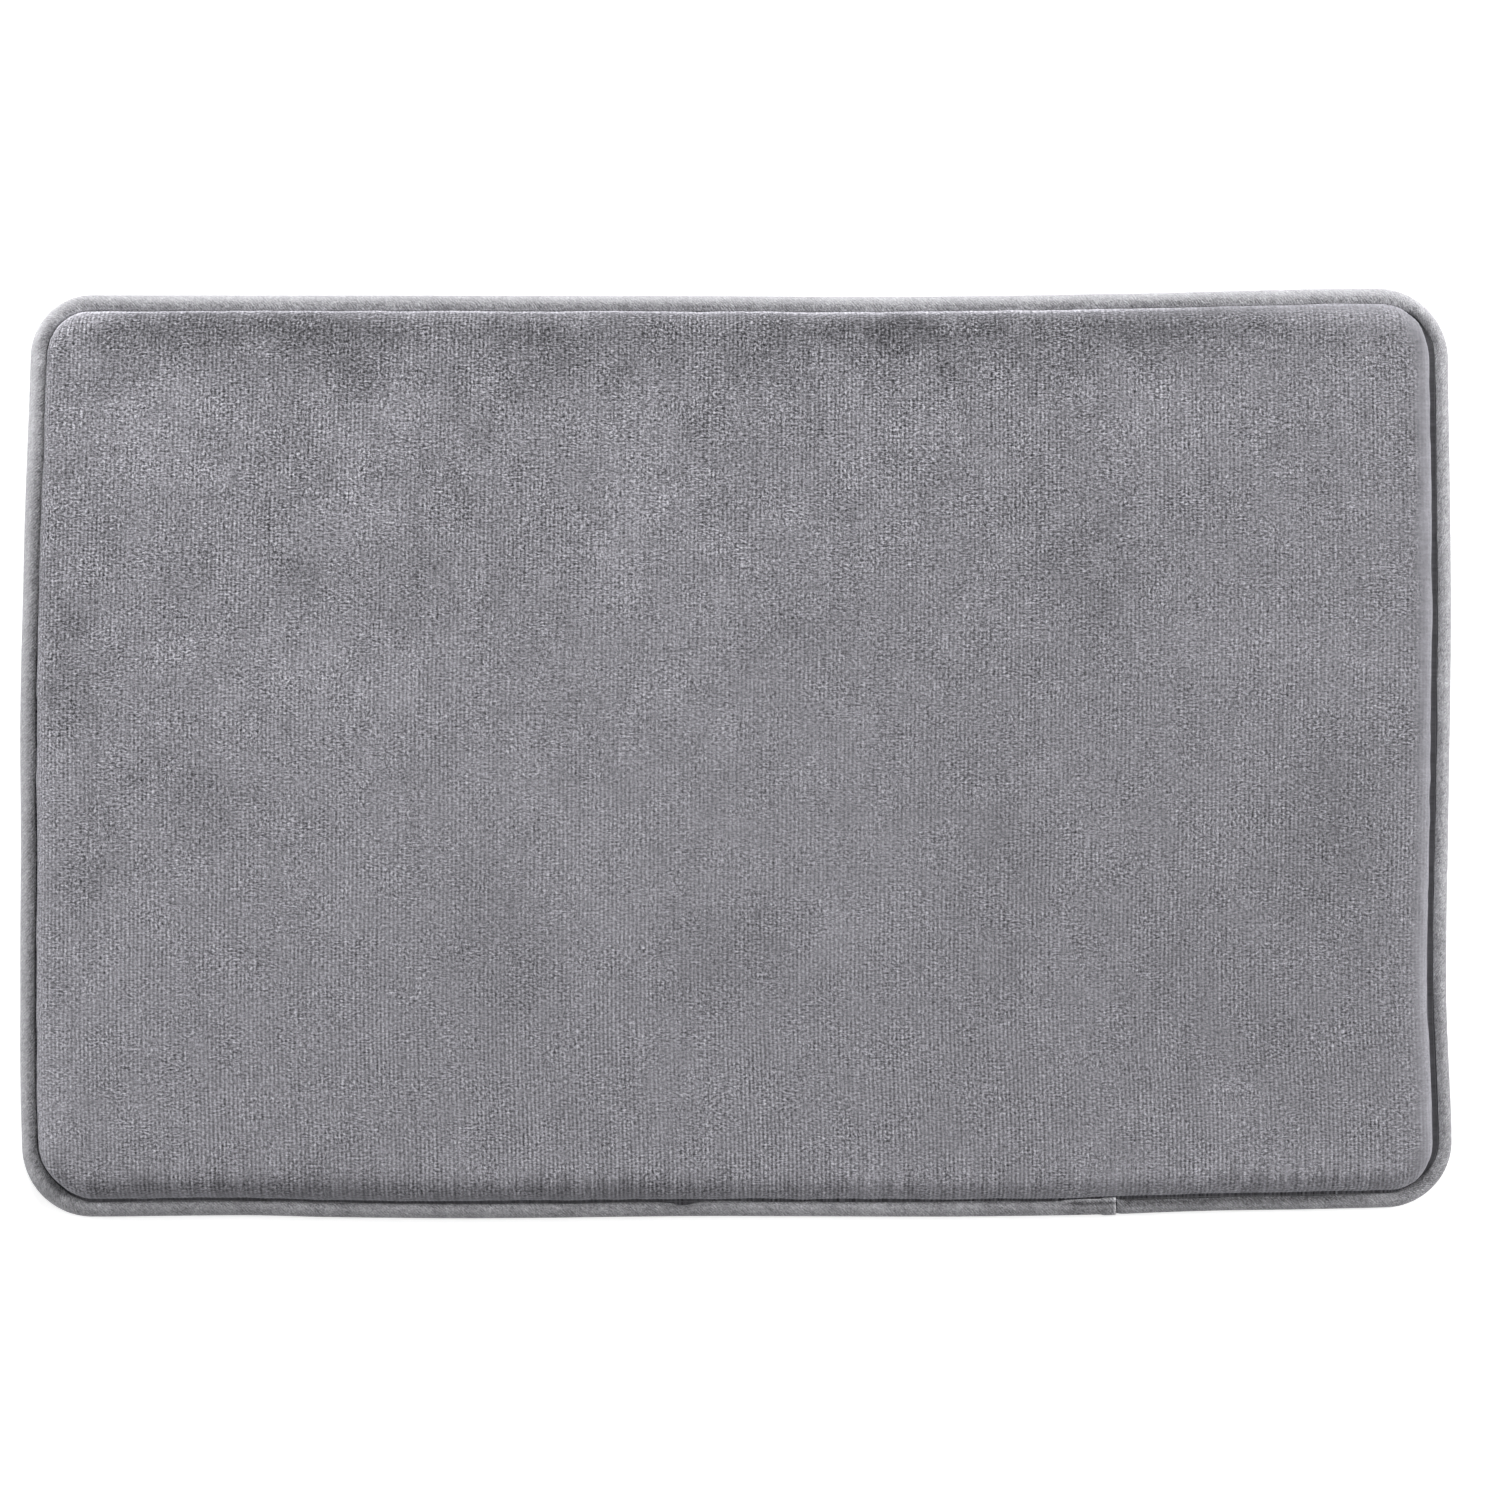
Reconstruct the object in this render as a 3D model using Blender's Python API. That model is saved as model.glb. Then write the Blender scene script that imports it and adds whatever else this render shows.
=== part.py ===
"""Padded bath mat with a bound edge.

A slab of soft foam lies between a ribbed pile cover and a plain base cloth.
All three layers are squeezed together round the rim, wrapped in a bias-cut
binding tape and lock-stitched through.  The base cloth carries a non-slip
layer, and a blank sewn-in care label lies under the back edge.

Frame: origin at the centre of the underside, +X along the long side,
+Y along the short side towards the back edge, +Z up.  Units are metres.
"""
import math

import bmesh
import bpy

# ---------------------------------------------------------------- dimensions
MM = 0.001

LENGTH = 800 * MM            # outside of the binding, along X
WIDTH = 514 * MM             # outside of the binding, along Y
HEIGHT = 18 * MM             # floor to the top of the pile
CORNER_R = 38 * MM           # outside corner radius
CORNER_STEPS = 8             # facets in a quarter turn

CLEAR = 0.3                  # mm, clearance kept between touching layers

# Layer thicknesses in mm.  "flat" is in the middle of the mat, "sewn" is
# where the seam squeezes the layer.
GRIP_T = 0.7
BASE_T = 0.5
FOAM_FLAT_T = 12.9
FOAM_SEWN_T = 0.4
COVER_FLAT_T = 3.0
COVER_SEWN_T = 0.7
TAPE_T = 0.8

# Stations in mm, measured inwards from the outside of the binding.
D_TIP = 3.0                  # cut ends of the layers inside the binding
D_BEAD = 4.0                 # crown of the rolled binding
D_STITCH = 7.9               # line of stitches
D_TAPE_TOP = 8.7             # upper edge of the binding tape
D_TAPE_LIP = 10.0            # lower edge of the binding tape
D_FOOT = 13.6                # base cloth is flat from here inwards
D_GRIP = 12.4                # non-slip layer starts here
D_SHOULDER = 10.4            # cover turns upwards beside the binding
D_TOP = 21.5                 # cover is flat from here inwards

BEAD_Z = 8.0                 # height of the rolled binding
LIP_LIFT = 0.6               # the stitches lift the tape's lower edge
SHOULDER_STEPS = 7
SHOULDER_POWER = 2.4         # squareness of the padded shoulder

# The two ends of the binding tape meet on the front edge.
JOIN_X = 212 * MM
JOIN_GAP = 0.5 * MM

THREAD_R = 0.15              # mm
THREAD_GAP = 3 * MM          # start and end of the seam, at the tape join

# Care label, blank.
LABEL_X = -300 * MM
LABEL_W = 22 * MM
LABEL_L = 41 * MM
LABEL_T = 0.20 * MM
LABEL_Z = 0.08 * MM
LABEL_D = 9.0                # mm, its caught end under the tape's lower edge
LABEL_CORNER = 2 * MM
LABEL_ROOM = 1 * MM


# ------------------------------------------------------------------- helpers
def clear_scene():
    for obj in list(bpy.data.objects):
        bpy.data.objects.remove(obj, do_unlink=True)


def make_material(name, color, roughness):
    mat = bpy.data.materials.new(name)
    mat.use_nodes = True
    shader = mat.node_tree.nodes["Principled BSDF"]
    shader.inputs["Base Color"].default_value = (*color, 1.0)
    shader.inputs["Roughness"].default_value = roughness
    shader.inputs["Metallic"].default_value = 0.0
    return mat


def corner_arc(d, sx, sy):
    """Points of one corner, counter-clockwise, at the inset d (mm)."""
    cx = sx * (LENGTH / 2 - CORNER_R)
    cy = sy * (WIDTH / 2 - CORNER_R)
    r = CORNER_R - d * MM
    first = {(1, -1): -90, (1, 1): 0, (-1, 1): 90, (-1, -1): 180}[(sx, sy)]
    out = []
    for i in range(CORNER_STEPS + 1):
        a = math.radians(first + 90 * i / CORNER_STEPS)
        out.append((cx + r * math.cos(a), cy + r * math.sin(a)))
    return out


def ring(d):
    """Closed rounded rectangle at the inset d (mm), counter-clockwise."""
    return [p for sx, sy in ((1, -1), (1, 1), (-1, 1), (-1, -1))
            for p in corner_arc(d, sx, sy)]


def open_ring(d, gap):
    """The same path cut open at the tape join on the front edge."""
    y = -WIDTH / 2 + d * MM
    return ([(JOIN_X + gap / 2, y)] + ring(d) + [(JOIN_X - gap / 2, y)])


def shoulder(d0, z0, d1, z1):
    """Superelliptic padded shoulder from (d0, z0) up to (d1, z1), in mm."""
    power = 2 / SHOULDER_POWER
    pts = []
    for i in range(SHOULDER_STEPS + 1):
        a = math.pi / 2 * i / SHOULDER_STEPS
        c = max(math.cos(a), 0.0) ** power
        s = math.sin(a) ** power
        pts.append((d0 + (d1 - d0) * (1 - c), z0 + (z1 - z0) * s))
    return pts


def offset_line(pts, t):
    """Parallel line at the distance t to the right of a (d, z) polyline."""
    out = []
    for i, (x, y) in enumerate(pts):
        norms = []
        for j in (i - 1, i):
            if 0 <= j < len(pts) - 1:
                dx = pts[j + 1][0] - pts[j][0]
                dy = pts[j + 1][1] - pts[j][1]
                n = math.hypot(dx, dy)
                norms.append((dy / n, -dx / n))
        nx = sum(n[0] for n in norms) / len(norms)
        ny = sum(n[1] for n in norms) / len(norms)
        k = t / (nx * nx + ny * ny)
        out.append((x + nx * k, y + ny * k))
    return out


def finish_object(name, bm, material, smooth_angle=40):
    bmesh.ops.recalc_face_normals(bm, faces=bm.faces)
    mesh = bpy.data.meshes.new(name)
    bm.to_mesh(mesh)
    bm.free()
    mesh.shade_smooth()
    mesh.set_sharp_from_angle(angle=math.radians(smooth_angle))
    obj = bpy.data.objects.new(name, mesh)
    bpy.context.scene.collection.objects.link(obj)
    mesh.materials.append(material)
    return obj


def lay_up(name, profile, material):
    """Slab made by carrying a (d, z) profile round the mat.

    The profile runs from the middle of the underside out to the rim and back
    to the middle of the upper side; both middles are closed with a flat face.
    """
    bm = bmesh.new()
    rings = [[bm.verts.new((x, y, z * MM)) for x, y in ring(d)]
             for d, z in profile]
    n = len(rings[0])
    for a, b in zip(rings, rings[1:]):
        for i in range(n):
            j = (i + 1) % n
            bm.faces.new((a[i], a[j], b[j], b[i]))
    bm.faces.new(rings[0])
    bm.faces.new(rings[-1])
    return finish_object(name, bm, material)


def run_tape(name, profile, gap, material):
    """Tape with a closed (d, z) section that runs once round the mat."""
    bm = bmesh.new()
    lines = [[bm.verts.new((x, y, z * MM)) for x, y in open_ring(d, gap)]
             for d, z in profile]
    n = len(lines[0])
    for k in range(len(lines)):
        a, b = lines[k], lines[(k + 1) % len(lines)]
        for i in range(n - 1):
            bm.faces.new((a[i], a[i + 1], b[i + 1], b[i]))
    bm.faces.new([line[0] for line in lines])
    bm.faces.new([line[-1] for line in lines])
    return finish_object(name, bm, material)


def run_thread(name, d, z, material):
    """Seam thread as one round strand, open at the tape join."""
    curve = bpy.data.curves.new(name, "CURVE")
    curve.dimensions = "3D"
    curve.bevel_depth = THREAD_R * MM
    curve.bevel_resolution = 2
    curve.use_fill_caps = True
    curve.resolution_u = 1
    curve.render_resolution_u = 0
    pts = open_ring(d, THREAD_GAP)
    spline = curve.splines.new("POLY")
    spline.points.add(len(pts) - 1)
    for point, (x, y) in zip(spline.points, pts):
        point.co = (x, y, z * MM, 1.0)
    obj = bpy.data.objects.new(name, curve)
    bpy.context.scene.collection.objects.link(obj)
    curve.materials.append(material)
    return obj


def plate(name, outline, z0, thickness, material):
    """Flat plate from a counter-clockwise outline."""
    bm = bmesh.new()
    face = bm.faces.new([bm.verts.new((x, y, z0)) for x, y in outline])
    grown = bmesh.ops.extrude_face_region(bm, geom=[face])
    top = [g for g in grown["geom"] if isinstance(g, bmesh.types.BMVert)]
    bmesh.ops.translate(bm, verts=top, vec=(0, 0, thickness))
    return finish_object(name, bm, material)


# -------------------------------------------------------- levels at the seam
# Heights in mm.  At the seam, from the floor up: tape lip, base cloth, foam,
# cover, tape.  In the middle: non-slip layer, base cloth, foam, cover.
LIP_TOP = LIP_LIFT + TAPE_T
BASE_SEWN_Z = LIP_TOP + CLEAR
FOAM_SEWN_Z = BASE_SEWN_Z + BASE_T + CLEAR
COVER_SEWN_Z = FOAM_SEWN_Z + FOAM_SEWN_T + CLEAR
COVER_SEWN_TOP = COVER_SEWN_Z + COVER_SEWN_T

BASE_Z = GRIP_T + CLEAR
FOAM_Z = BASE_Z + BASE_T + CLEAR
FOAM_TOP = FOAM_Z + FOAM_FLAT_T
COVER_INNER_Z = FOAM_TOP + CLEAR
COVER_TOP = COVER_INNER_Z + COVER_FLAT_T      # equals HEIGHT
assert abs(COVER_TOP * MM - HEIGHT) < 1e-6

BEAD_FLOOR = TAPE_T + CLEAR                   # lowest layer inside the bead
TAPE_SEAM_Z = 5.5                             # top of the tape at the stitches


def binding_profile():
    """C-shaped section: lower lip, round the outside, over to the seam."""
    outer = [(D_TAPE_LIP, LIP_LIFT), (D_STITCH - 0.3, LIP_LIFT),
             (D_STITCH - 1.1, 0.0), (2.6, 0.0), (1.2, 0.35), (0.35, 1.3),
             (0.0, 2.7), (0.0, 4.1), (0.35, 5.5), (1.15, 6.75), (2.4, 7.65),
             (D_BEAD, BEAD_Z), (5.6, 7.6), (6.9, 6.7), (D_STITCH, TAPE_SEAM_Z),
             (D_TAPE_TOP, TAPE_SEAM_Z - 0.5)]
    inner = offset_line(outer, TAPE_T)
    return outer + inner[::-1]


def base_profile():
    lo, up = BASE_SEWN_Z, BASE_SEWN_Z + BASE_T
    floor, roof = BEAD_FLOOR, BEAD_FLOOR + BASE_T
    return [(D_FOOT, BASE_Z), (11.6, lo), (D_STITCH - 0.8, lo),
            (D_STITCH - 2.2, floor), (D_TIP, floor),
            (D_TIP, roof), (D_STITCH - 2.4, roof),
            (D_STITCH - 1.0, up), (11.8, up), (D_FOOT + 0.2, BASE_Z + BASE_T)]


def foam_profile():
    """The foam is squeezed thin under the stitches and swells in the bead."""
    lo, up = FOAM_SEWN_Z, FOAM_SEWN_Z + FOAM_SEWN_T
    floor = BEAD_FLOOR + BASE_T + CLEAR
    return ([(D_FOOT + 0.4, FOAM_Z), (12.0, lo), (D_STITCH - 1.2, lo),
             (D_STITCH - 2.6, floor), (D_TIP + 0.2, floor),
             (D_TIP - 0.5, floor + 0.5), (D_TIP - 0.6, floor + 1.4),
             (D_TIP - 0.3, floor + 2.6), (D_BEAD + 0.1, floor + 3.0),
             (6.0, up + 1.1), (7.0, up + 0.2), (D_STITCH - 0.5, up),
             (D_SHOULDER + 0.3, up), (D_SHOULDER + 1.3, up + 0.3)]
            + shoulder(D_SHOULDER + 1.7, up + 0.9, D_TOP, FOAM_TOP))


def cover_profile():
    """Open-bottomed skin: flange inside the bead, seam, shoulder, top."""
    lo, up = COVER_SEWN_Z, COVER_SEWN_TOP
    inner = shoulder(D_SHOULDER + 1.2, lo + 0.6, D_TOP, COVER_INNER_Z)
    outer = shoulder(D_SHOULDER, up + 0.3, D_TOP, COVER_TOP)
    return (inner[::-1]
            + [(D_SHOULDER + 0.5, lo), (D_STITCH - 0.3, lo), (7.2, lo + 0.2),
               (6.2, lo + 1.1), (D_BEAD + 0.2, lo + 2.0),
               (D_TIP - 0.5, lo + 1.7), (D_TIP - 0.8, lo + 2.1),
               (D_TIP - 0.6, up + 2.0), (D_BEAD, up + 2.7),
               (5.4, up + 2.2), (6.6, up + 1.0), (7.4, up + 0.15),
               (D_STITCH, up), (D_SHOULDER - 0.2, up)]
            + outer)


# ---------------------------------------------------------------------- build
def build():
    clear_scene()

    pile = make_material("pile_fabric", (0.254, 0.250, 0.270), 0.95)
    foam = make_material("foam", (0.78, 0.76, 0.68), 0.90)
    base = make_material("base_cloth", (0.30, 0.30, 0.31), 0.85)
    grip = make_material("grip_pvc", (0.62, 0.62, 0.63), 0.55)
    tape = make_material("binding_tape", (0.37, 0.37, 0.36), 0.85)
    thread = make_material("thread", (0.33, 0.33, 0.34), 0.60)
    satin = make_material("label_satin", (0.82, 0.82, 0.80), 0.45)

    lay_up("top_cover", cover_profile(), pile)
    lay_up("foam_core", foam_profile(), foam)
    lay_up("base_fabric", base_profile(), base)
    run_tape("edge_binding", binding_profile(), JOIN_GAP, tape)

    # Needle thread lies on the sloping tape in the groove; bobbin thread lies
    # in the lifted channel under the tape's lower edge.
    off = CLEAR + THREAD_R + 0.05
    run_thread("needle_thread", D_STITCH + 0.65 * off,
               TAPE_SEAM_Z + 0.75 * off, thread)
    run_thread("bobbin_thread", D_STITCH, THREAD_R + 0.02, thread)

    # Non-slip layer, cut away round the care label.
    y_edge = WIDTH / 2 - D_GRIP * MM
    y_deep = WIDTH / 2 - LABEL_D * MM - LABEL_L - LABEL_ROOM
    half = LABEL_W / 2 + LABEL_ROOM
    outline = (corner_arc(D_GRIP, 1, -1) + corner_arc(D_GRIP, 1, 1)
               + [(LABEL_X + half, y_edge), (LABEL_X + half, y_deep),
                  (LABEL_X - half, y_deep), (LABEL_X - half, y_edge)]
               + corner_arc(D_GRIP, -1, 1) + corner_arc(D_GRIP, -1, -1))
    plate("grip_dots", outline, 0.0, GRIP_T * MM, grip)

    # Blank care label, its back end caught under the binding.
    y_back = WIDTH / 2 - LABEL_D * MM
    y_front = y_back - LABEL_L
    r = LABEL_CORNER
    tag = [(LABEL_X + LABEL_W / 2, y_back), (LABEL_X - LABEL_W / 2, y_back)]
    for side, first in ((-1, 180), (1, 270)):
        cx = LABEL_X + side * (LABEL_W / 2 - r)
        for i in range(5):
            a = math.radians(first + 22.5 * i)
            tag.append((cx + r * math.cos(a), y_front + r + r * math.sin(a)))
    plate("care_label", tag, LABEL_Z, LABEL_T, satin)


build()
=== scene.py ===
"""Looks of the padded bath mat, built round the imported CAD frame.

Lengths in this file are millimetres until mesh vertices are written; MM turns
them into metres.  (d, z) is a section: d inwards from the outside of the
binding, z up from the floor.
"""

import math

import bpy
import numpy as np
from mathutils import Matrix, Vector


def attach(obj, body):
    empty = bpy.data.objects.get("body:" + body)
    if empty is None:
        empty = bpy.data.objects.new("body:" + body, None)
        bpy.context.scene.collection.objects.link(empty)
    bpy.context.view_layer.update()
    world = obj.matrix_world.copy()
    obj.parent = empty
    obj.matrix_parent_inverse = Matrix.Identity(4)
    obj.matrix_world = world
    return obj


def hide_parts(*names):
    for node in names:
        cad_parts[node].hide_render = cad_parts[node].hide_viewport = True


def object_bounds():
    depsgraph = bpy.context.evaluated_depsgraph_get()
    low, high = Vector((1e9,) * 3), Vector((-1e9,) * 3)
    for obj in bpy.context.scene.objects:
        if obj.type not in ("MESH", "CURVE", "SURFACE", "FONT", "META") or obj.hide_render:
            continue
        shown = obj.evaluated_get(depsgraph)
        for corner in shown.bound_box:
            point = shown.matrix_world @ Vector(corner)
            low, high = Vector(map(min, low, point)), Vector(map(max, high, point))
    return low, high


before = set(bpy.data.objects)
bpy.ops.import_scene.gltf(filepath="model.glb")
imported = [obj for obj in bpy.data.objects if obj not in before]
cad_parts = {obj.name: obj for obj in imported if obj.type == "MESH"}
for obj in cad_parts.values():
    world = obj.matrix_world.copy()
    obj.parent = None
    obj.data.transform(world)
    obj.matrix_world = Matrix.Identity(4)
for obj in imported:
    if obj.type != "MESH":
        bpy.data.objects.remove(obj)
CAD_BOX = [[float(v) for v in corner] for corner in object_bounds()]

MM = 0.001
LENGTH = (CAD_BOX[1][0] - CAD_BOX[0][0]) / MM       # 800
WIDTH = (CAD_BOX[1][1] - CAD_BOX[0][1]) / MM        # 514
HEIGHT = (CAD_BOX[1][2] - CAD_BOX[0][2]) / MM       # 18
HX, HY = LENGTH / 2, WIDTH / 2

# Outside corner radii as sewn: front right, back right, back left, front left.
R_FR, R_BR, R_BL, R_FL = 36.5, 39.5, 34.0, 39.0

JOIN_X = 212.0            # where the two ends of the binding tape meet
RIB = 2.297               # pitch of the pile's ribs
D_SEAM = 10.4             # cover turns up out of the seam here
Z_SEAM = 4.1


# =============================================================== small maths
def smooth(x):
    x = np.clip(x, 0.0, 1.0)
    return x * x * (3 - 2 * x)


def bump(x, centre, half):
    """Smooth hump, 1 at the centre and 0 beyond half."""
    return smooth(1 - np.abs(x - centre) / half)


def spline(xs, ys, x):
    """Smooth curve through a few points (monotone pieces, eased)."""
    xs, ys = np.asarray(xs, float), np.asarray(ys, float)
    m = np.gradient(ys, xs)
    i = np.clip(np.searchsorted(xs, x) - 1, 0, len(xs) - 2)
    h = xs[i + 1] - xs[i]
    t = np.clip((x - xs[i]) / h, 0, 1)
    return ((1 + 2 * t) * (1 - t) ** 2 * ys[i] + t * (1 - t) ** 2 * h * m[i]
            + t * t * (3 - 2 * t) * ys[i + 1] + t * t * (t - 1) * h * m[i + 1])


def noise1(u, cell, seed, wrap=None):
    """Smooth noise along a line, -1 to 1; repeats after wrap."""
    n = max(4, int(round(wrap / cell))) if wrap else 2048
    step = wrap / n if wrap else cell
    v = np.random.RandomState(seed).uniform(-1, 1, n)
    x = np.asarray(u, float) / step
    i = np.floor(x).astype(int)
    f = smooth(x - i)
    return v[i % n] * (1 - f) + v[(i + 1) % n] * f


def noise2(x, y, cell, seed):
    """Smooth noise on the plane, -1 to 1."""
    n = 257
    v = np.random.RandomState(seed).uniform(-1, 1, (n, n))
    x, y = np.asarray(x, float) / cell, np.asarray(y, float) / cell
    i, j = np.floor(x).astype(int), np.floor(y).astype(int)
    f, g = smooth(x - i), smooth(y - j)
    i, j, i1, j1 = i % n, j % n, (i + 1) % n, (j + 1) % n
    return ((v[j, i] * (1 - f) + v[j, i1] * f) * (1 - g)
            + (v[j1, i] * (1 - f) + v[j1, i1] * f) * g)


def resample(pts, step):
    """Points at an even step along a smooth line through pts."""
    p = np.asarray(pts, float)
    q = np.vstack([2 * p[0] - p[1], p, 2 * p[-1] - p[-2]])
    fine = []
    for a, b, c, d in zip(q, q[1:], q[2:], q[3:]):
        for t in np.linspace(0, 1, 12, endpoint=False):
            fine.append(0.5 * (2 * b + (c - a) * t
                               + (2 * a - 5 * b + 4 * c - d) * t * t
                               + (3 * b - a - 3 * c + d) * t ** 3))
    fine.append(p[-1])
    fine = np.array(fine)
    s = np.concatenate([[0], np.cumsum(np.hypot(*np.diff(fine, axis=0).T))])
    n = max(2, int(round(s[-1] / step)) + 1)
    at = np.linspace(0, s[-1], n)
    return np.column_stack([np.interp(at, s, fine[:, 0]),
                            np.interp(at, s, fine[:, 1])])


def superellipse(d0, z0, d1, z1, power, steps):
    a = np.linspace(0, math.pi / 2, steps + 1)
    c = np.clip(np.cos(a), 0, 1) ** (2 / power)
    s = np.clip(np.sin(a), 0, 1) ** (2 / power)
    return np.column_stack([d0 + (d1 - d0) * (1 - c), z0 + (z1 - z0) * s])


# ============================================================ plan of the mat
def warp(x, y):
    """The sewn mat is slightly out of square; moves regular plan points."""
    left = spline([-257, -228, -195, -50, 36, 81, 126, 171, 215, 257],
                  [0.8, 0.5, -0.3, -0.4, -0.5, 0.55, 1.7, 3.3, 4.9, 5.9], y)
    right = spline([-257, -210, -188, -143, -98, -54, 0, 81, 126, 215, 257],
                   [1.3, 1.0, 0.1, -1.7, -1.7, -0.8, 0.0, 0.9, 0.5, -0.7,
                    -1.1], y)
    back = spline([-400, -200, -60, 140, 193, 240, 283, 327, 400],
                  [0.4, 0.3, 0.1, 0.0, 0.9, 1.7, 2.9, 3.9, 3.9], x)
    front = spline([-400, -345, -300, -270, -230, -165, -110, -54, 148, 200,
                    260, 327, 400],
                   [-2.0, -1.8, -1.3, -1.2, -2.1, -2.8, -2.6, -1.8, -1.6,
                    -0.8, 1.3, 2.4, 4.3], x)
    fx = np.clip((x + HX) / LENGTH, 0, 1)
    fy = np.clip((y + HY) / WIDTH, 0, 1)
    return x + left * (1 - fx) + right * fx, y + front * (1 - fy) + back * fy


def _segments():
    """Outline from the tape join, counter-clockwise: lines and arcs."""
    segs = [("line", (JOIN_X, -HY), (HX - R_FR, -HY), (0, -1))]
    segs += [("arc", (HX - R_FR, -HY + R_FR), R_FR, -90)]
    segs += [("line", (HX, -HY + R_FR), (HX, HY - R_BR), (1, 0))]
    segs += [("arc", (HX - R_BR, HY - R_BR), R_BR, 0)]
    segs += [("line", (HX - R_BR, HY), (-HX + R_BL, HY), (0, 1))]
    segs += [("arc", (-HX + R_BL, HY - R_BL), R_BL, 90)]
    segs += [("line", (-HX, HY - R_BL), (-HX, -HY + R_FL), (-1, 0))]
    segs += [("arc", (-HX + R_FL, -HY + R_FL), R_FL, 180)]
    segs += [("line", (-HX + R_FL, -HY), (JOIN_X, -HY), (0, -1))]
    return segs


SEGS = _segments()
SEG_LEN = [math.dist(s[1], s[2]) if s[0] == "line" else s[2] * math.pi / 2
           for s in SEGS]
SEG_AT = np.concatenate([[0], np.cumsum(SEG_LEN)])
PERIMETER = float(SEG_AT[-1])


def outline(u):
    """Plan point and outward normal at the distance u along the outline."""
    u = np.asarray(u, float)
    pos, nor = np.zeros(u.shape + (2,)), np.zeros(u.shape + (2,))
    k = np.clip(np.searchsorted(SEG_AT, u, side="right") - 1, 0, len(SEGS) - 1)
    for i, s in enumerate(SEGS):
        m = k == i
        if not m.any():
            continue
        f = (u[m] - SEG_AT[i]) / SEG_LEN[i]
        if s[0] == "line":
            pos[m] = np.array(s[1]) + np.outer(f, np.subtract(s[2], s[1]))
            nor[m] = s[3]
        else:
            a = np.radians(s[3] + 90 * f)
            nor[m] = np.column_stack([np.cos(a), np.sin(a)])
            pos[m] = np.array(s[1]) + s[2] * nor[m]
    return pos, nor


def place(u, d, z):
    """World points (mm) for outline distance u, inset d and height z."""
    pos, nor = outline(u)
    x, y = warp(pos[..., 0] - nor[..., 0] * d, pos[..., 1] - nor[..., 1] * d)
    return np.stack([x, y, np.broadcast_to(z, x.shape)], -1)


def fullness(nx, ny):
    """1 where the pile crowds the tape (the back and its left corner)."""
    a = np.degrees(np.arctan2(ny, nx)) % 360
    return smooth((a - 48) / 24) * smooth((172 - a) / 34)


def slackness(nx, ny):
    """1 where the tape stands off the pile (the right-hand end)."""
    a = (np.degrees(np.arctan2(ny, nx)) + 180) % 360 - 180
    return smooth((a + 60) / 46) * smooth((46 - a) / 32)


def front_x(u):
    """Distance to the right of the join, along the front edge, of u."""
    return np.where(u > PERIMETER / 2, u - PERIMETER, u)


# ================================================================ mesh makers
def make_object(name, verts, faces, smooth_angle=None):
    mesh = bpy.data.meshes.new(name)
    mesh.from_pydata((np.asarray(verts) * MM).tolist(), [], faces)
    mesh.validate()
    mesh.update()
    mesh.shade_smooth()
    if smooth_angle:
        mesh.set_sharp_from_angle(angle=math.radians(smooth_angle))
    obj = bpy.data.objects.new(name, mesh)
    bpy.context.scene.collection.objects.link(obj)
    return obj


def put_vector(obj, name, values):
    a = obj.data.attributes.new(name, "FLOAT_VECTOR", "POINT")
    a.data.foreach_set("vector", np.asarray(values, np.float32).ravel())


def put_float(obj, name, values):
    a = obj.data.attributes.new(name, "FLOAT", "POINT")
    a.data.foreach_set("value", np.asarray(values, np.float32).ravel())


def strip_faces(rows, cols, wrap_rows, wrap_cols, flip=False):
    """Quads of a rows x cols vertex grid."""
    i = np.arange(rows if wrap_rows else rows - 1)
    j = np.arange(cols if wrap_cols else cols - 1)
    i, j = np.meshgrid(i, j, indexing="ij")
    i, j = i.ravel(), j.ravel()
    i1, j1 = (i + 1) % rows, (j + 1) % cols
    q = np.column_stack([i * cols + j, i * cols + j1, i1 * cols + j1,
                         i1 * cols + j])
    return (q[:, ::-1] if flip else q).tolist()


def lay_up(name, profile, step):
    """Closed slab from a (d, z) profile, middle of underside to middle of
    the upper side, carried round the mat."""
    n = int(PERIMETER / step)
    u = np.linspace(0, PERIMETER, n, endpoint=False)
    verts = np.concatenate([place(u, d, z) for d, z in profile])
    faces = strip_faces(len(profile), n, False, True)
    faces.append(list(range(n))[::-1])
    last = (len(profile) - 1) * n
    faces.append([last + i for i in range(n)])
    return make_object(name, verts, faces, 50)


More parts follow.
